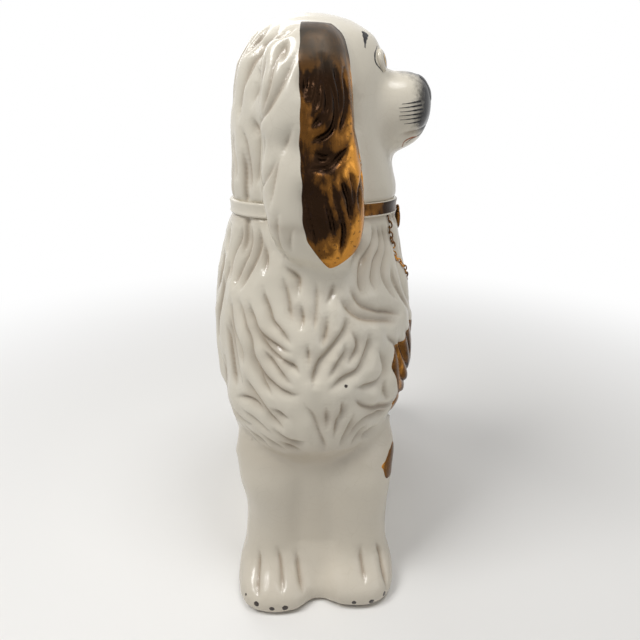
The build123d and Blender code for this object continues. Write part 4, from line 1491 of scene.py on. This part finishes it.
class SPANIEL_OT_chain(bpy.types.Operator):
    """Lays the gilt chain over the chest, link by link"""

    bl_idname = "spaniel.chain"
    bl_label = "Chain"

    def execute(self, context):
        sizes = context.scene.spaniel_sizes
        skin = finished_skin()
        low, high = CAD_BOX
        clear = 0.05
        rays = []
        for along, up in smooth_path(CHAIN_COURSE, 0.02):
            start = (low[0] + (high[0] - low[0]) * along, low[1] - clear, high[2] * up)
            rays.append((start, (0, 1, 0)))
        line = smooth_path(hits(skin.tree, rays), 1.5 * MM)
        seats = [skin.seat(place) for place in line]
        points = [spot + normal * sizes.link_wire * 0.6 for spot, normal in seats]
        steps = [(row, row + 1) for row in range(len(points) - 1)]
        path = bpy.data.meshes.new("chain_path")
        path.from_pydata([tuple(point) for point in points], steps, [])
        ways = np.array([normal for spot, normal in seats], dtype=np.float32)
        path.attributes.new("out", "FLOAT_VECTOR", "POINT").data.foreach_set("vector", ways.ravel())
        piece = bpy.data.objects.new("chain_path", path)
        context.scene.collection.objects.link(piece)
        gilt = lustre_finish("gilt_lustre", context.scene.spaniel_colours)
        tree, sockets = link_tree(gilt)
        layer = piece.modifiers.new("links", "NODES")
        layer.node_group = tree
        values = {
            "Link Pitch": sizes.link_pitch,
            "Link Length": sizes.link_pitch * 0.68,
            "Link Width": sizes.link_pitch * 0.42,
            "Wire": sizes.link_wire,
        }
        for name, value in values.items():
            layer[sockets[name]] = value
        mesh = evaluated(piece)
        piece.modifiers.remove(layer)
        bpy.data.objects.remove(piece)
        mesh.name = "chain_gilt"
        mesh.shade_smooth()
        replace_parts(make_object("chain_gilt", mesh, gilt), "chain")
        return {"FINISHED"}


class SPANIEL_OT_face(bpy.types.Operator):
    """Paints the nose, eyes, brows, whiskers and mouth"""

    bl_idname = "spaniel.face"
    bl_label = "Painted Face"

    def execute(self, context):
        colours = context.scene.spaniel_colours
        skin = finished_skin()
        black = enamel_finish("black_enamel", colours.enamel)
        red = enamel_finish("mouth_enamel", colours.mouth, 0.3)
        # The nose pad narrows to its foot, and its edge is a little ragged
        x, y, z = skin.points.T
        aside = np.abs(x - HEAD_X)
        inside = np.minimum(NOSE_LOW[1] + 5 * MM + (z - NOSE_LOW[2]) * 0.12 - y, 13 * MM - aside)
        inside = np.minimum(inside, z - NOSE_LOW[2] - 9 * MM - aside * 0.25)
        ragged = 0.5 * MM * np.sin(x * 900) * np.sin(z * 700)
        inside = np.where(z > COLLAR_HIGH, inside + ragged, -1.0)
        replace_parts(skin.coat("nose_pad", inside, black), "nose_enamel")

        for name in ("right_eye", "left_eye"):
            seat, out = skin.seat(middle_of(name))
            out = out * 0.8 + np.array((0.0, -0.2, 0.0))
            out /= np.linalg.norm(out)
            up = np.array((0.0, 0.0, 1.0)) - out * out[2]
            up /= np.linalg.norm(up)
            rings = [(EYE_RADIUS * share, height * EYE_HEIGHT) for share, height in EYE_RINGS]
            mesh = mesh_of(f"glass_{name}", lathe(rings, seat, out, up, 32))
            away = points_of(mesh) - seat
            flat = away - np.outer(away @ out, out)
            store(mesh, "reach", np.linalg.norm(flat, axis=1) / EYE_RADIUS)
            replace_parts(make_object(f"painted_{name}", mesh, eye_finish(f"{name}_enamel", colours)), name)

        def both(picture_lines):
            """Lines of the picture laid on both cheeks."""
            lines = [picture_hits(skin, places) for places in picture_lines]
            return lines + [mirrored(places) for places in lines]

        skin.stroke("lid_strokes", both([LID]), 0.55 * MM, black)
        skin.stroke("brow_strokes", both([BROW[::-1]]), 1.8 * MM, black, 1.0)
        skin.stroke("whisker_strokes", both(WHISKERS), 0.5 * MM, black, 1.0)
        skin.stroke("lip_strokes", both([LIP]), 0.3 * MM, black)
        skin.stroke("mouth_strokes", both([MOUTH]), 0.5 * MM, red)
        return {"FINISHED"}


class SPANIEL_OT_underside(bpy.types.Operator):
    """Gives the base slab and the inner seam their bare clay"""

    bl_idname = "spaniel.underside"
    bl_label = "Bare Clay"

    def execute(self, context):
        bare = bare_clay_finish("bare_clay", context.scene.spaniel_colours)
        for name in ("base_slab", "seam_roll"):
            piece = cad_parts[name]
            piece.data.materials.clear()
            piece.data.materials.append(bare)
        return {"FINISHED"}


class SPANIEL_OT_stage(bpy.types.Operator):
    """Sets up the floor, the soft light and the camera of the picture"""

    bl_idname = "spaniel.stage"
    bl_label = "Stage"

    def execute(self, context):
        self.floor(context)
        for name, (place, aim, size, power) in LAMPS.items():
            self.lamp(context, name, place, aim, size, power)
        world = bpy.data.worlds.new("studio")
        world.use_nodes = True
        graph = Graph(world.node_tree)
        sky = graph.nodes["Background"]
        graph.feed(sky.inputs["Color"], (1.0, 1.0, 1.0, 1.0))
        graph.feed(sky.inputs["Strength"], graph.seen() * 0.8 + 0.2)
        context.scene.world = world

        lens = bpy.data.cameras.new("picture")
        lens.sensor_width = SENSOR
        lens.lens = PICTURE_FOCUS / PICTURE * SENSOR
        lens.shift_x = (PICTURE / 2 - PICTURE_MIDDLE_X) / PICTURE
        lens.clip_start = 0.01
        camera = bpy.data.objects.new("picture", lens)
        camera.location = CAMERA_PLACE
        camera.rotation_euler = (math.pi / 2 - CAMERA_PITCH, 0.0, -math.pi / 2)
        context.scene.collection.objects.link(camera)
        context.scene.camera = camera
        context.scene.view_settings.view_transform = "Standard"
        return {"FINISHED"}

    def floor(self, context):
        """A round pale floor that fades into the white background."""
        colours = context.scene.spaniel_colours
        finish = Finish("pale_floor")
        place = finish.place()
        cloud = finish.noise(place, 3.0, 2.0)
        finish.set(
            Base_Color=finish.mix(cloud.step(0.3, 0.7) * 0.25, colours.floor, shade(colours.floor, 0.96)),
            Roughness=0.55 + 0.1 * cloud,
        )
        reach = finish.new("ShaderNodeVectorMath", {"operation": "LENGTH"}, place)[1]
        glow = finish.new("ShaderNodeEmission", None, (1.0, 1.0, 1.0, 1.0))[0]
        fading = reach.step(0.22, 0.75) * finish.seen()
        lit = Wire(finish, finish.shader.outputs[0])
        blend = finish.new("ShaderNodeMixShader", None, fading, lit, glow)[0]
        output = next(node for node in finish.nodes if node.type == "OUTPUT_MATERIAL")
        finish.feed(output.inputs["Surface"], blend)
        points = [(0.0, 0.0, 0.0)]
        faces = []
        rings = (0.2, 0.5, 1.0, 2.5)
        turns = 48
        for ring, radius in enumerate(rings):
            for turn in range(turns):
                angle = 2 * math.pi * turn / turns
                points.append((radius * math.cos(angle), radius * math.sin(angle), 0.0))
                a, b = 1 + ring * turns + turn, 1 + ring * turns + (turn + 1) % turns
                faces.append((0, a, b) if ring == 0 else (a - turns, a, b, b - turns))
        mesh = bpy.data.meshes.new("floor")
        mesh.from_pydata(points, [], faces)
        floor = bpy.data.objects.new("floor", mesh)
        context.scene.collection.objects.link(floor)
        mesh.materials.append(finish.material)

    def lamp(self, context, name, place, aim, size, power):
        """A square soft light that looks at a place."""
        light = bpy.data.lights.new(name, "AREA")
        light.size = size
        light.energy = power
        lamp = bpy.data.objects.new(name, light)
        lamp.location = place
        lamp.rotation_euler = (Vector(aim) - Vector(place)).to_track_quat("-Z", "Y").to_euler()
        context.scene.collection.objects.link(lamp)


class SPANIEL_PT_panel(bpy.types.Panel):
    """Lists the sizes, the colours and the steps that make the figure"""

    bl_idname = "SPANIEL_PT_panel"
    bl_label = "Pottery Spaniel"
    bl_space_type = "VIEW_3D"
    bl_region_type = "UI"
    bl_category = "Spaniel"

    def draw(self, context):
        for group in (context.scene.spaniel_sizes, context.scene.spaniel_colours):
            box = self.layout.box()
            for name in group.__annotations__:
                box.prop(group, name)
        for operator in OPERATORS:
            self.layout.operator(operator.bl_idname)


OPERATORS = (
    SPANIEL_OT_stage,
    SPANIEL_OT_clay,
    SPANIEL_OT_lustre,
    SPANIEL_OT_collar,
    SPANIEL_OT_chain,
    SPANIEL_OT_face,
    SPANIEL_OT_underside,
)
CLASSES = (SpanielSizes, SpanielColours, *OPERATORS, SPANIEL_PT_panel)


def register():
    """Adds the classes, and the sizes and colours of a scene."""
    for item in CLASSES:
        bpy.utils.register_class(item)
    bpy.types.Scene.spaniel_sizes = PointerProperty(type=SpanielSizes)
    bpy.types.Scene.spaniel_colours = PointerProperty(type=SpanielColours)


def unregister():
    """Takes out what register adds."""
    del bpy.types.Scene.spaniel_colours
    del bpy.types.Scene.spaniel_sizes
    for item in reversed(CLASSES):
        bpy.utils.unregister_class(item)


def main():
    """Makes the figure and its stage."""
    register()
    bpy.ops.spaniel.stage()
    bpy.ops.spaniel.clay()
    bpy.ops.spaniel.lustre()
    bpy.ops.spaniel.collar()
    bpy.ops.spaniel.chain()
    bpy.ops.spaniel.face()
    bpy.ops.spaniel.underside()


if __name__ == "__main__":
    main()
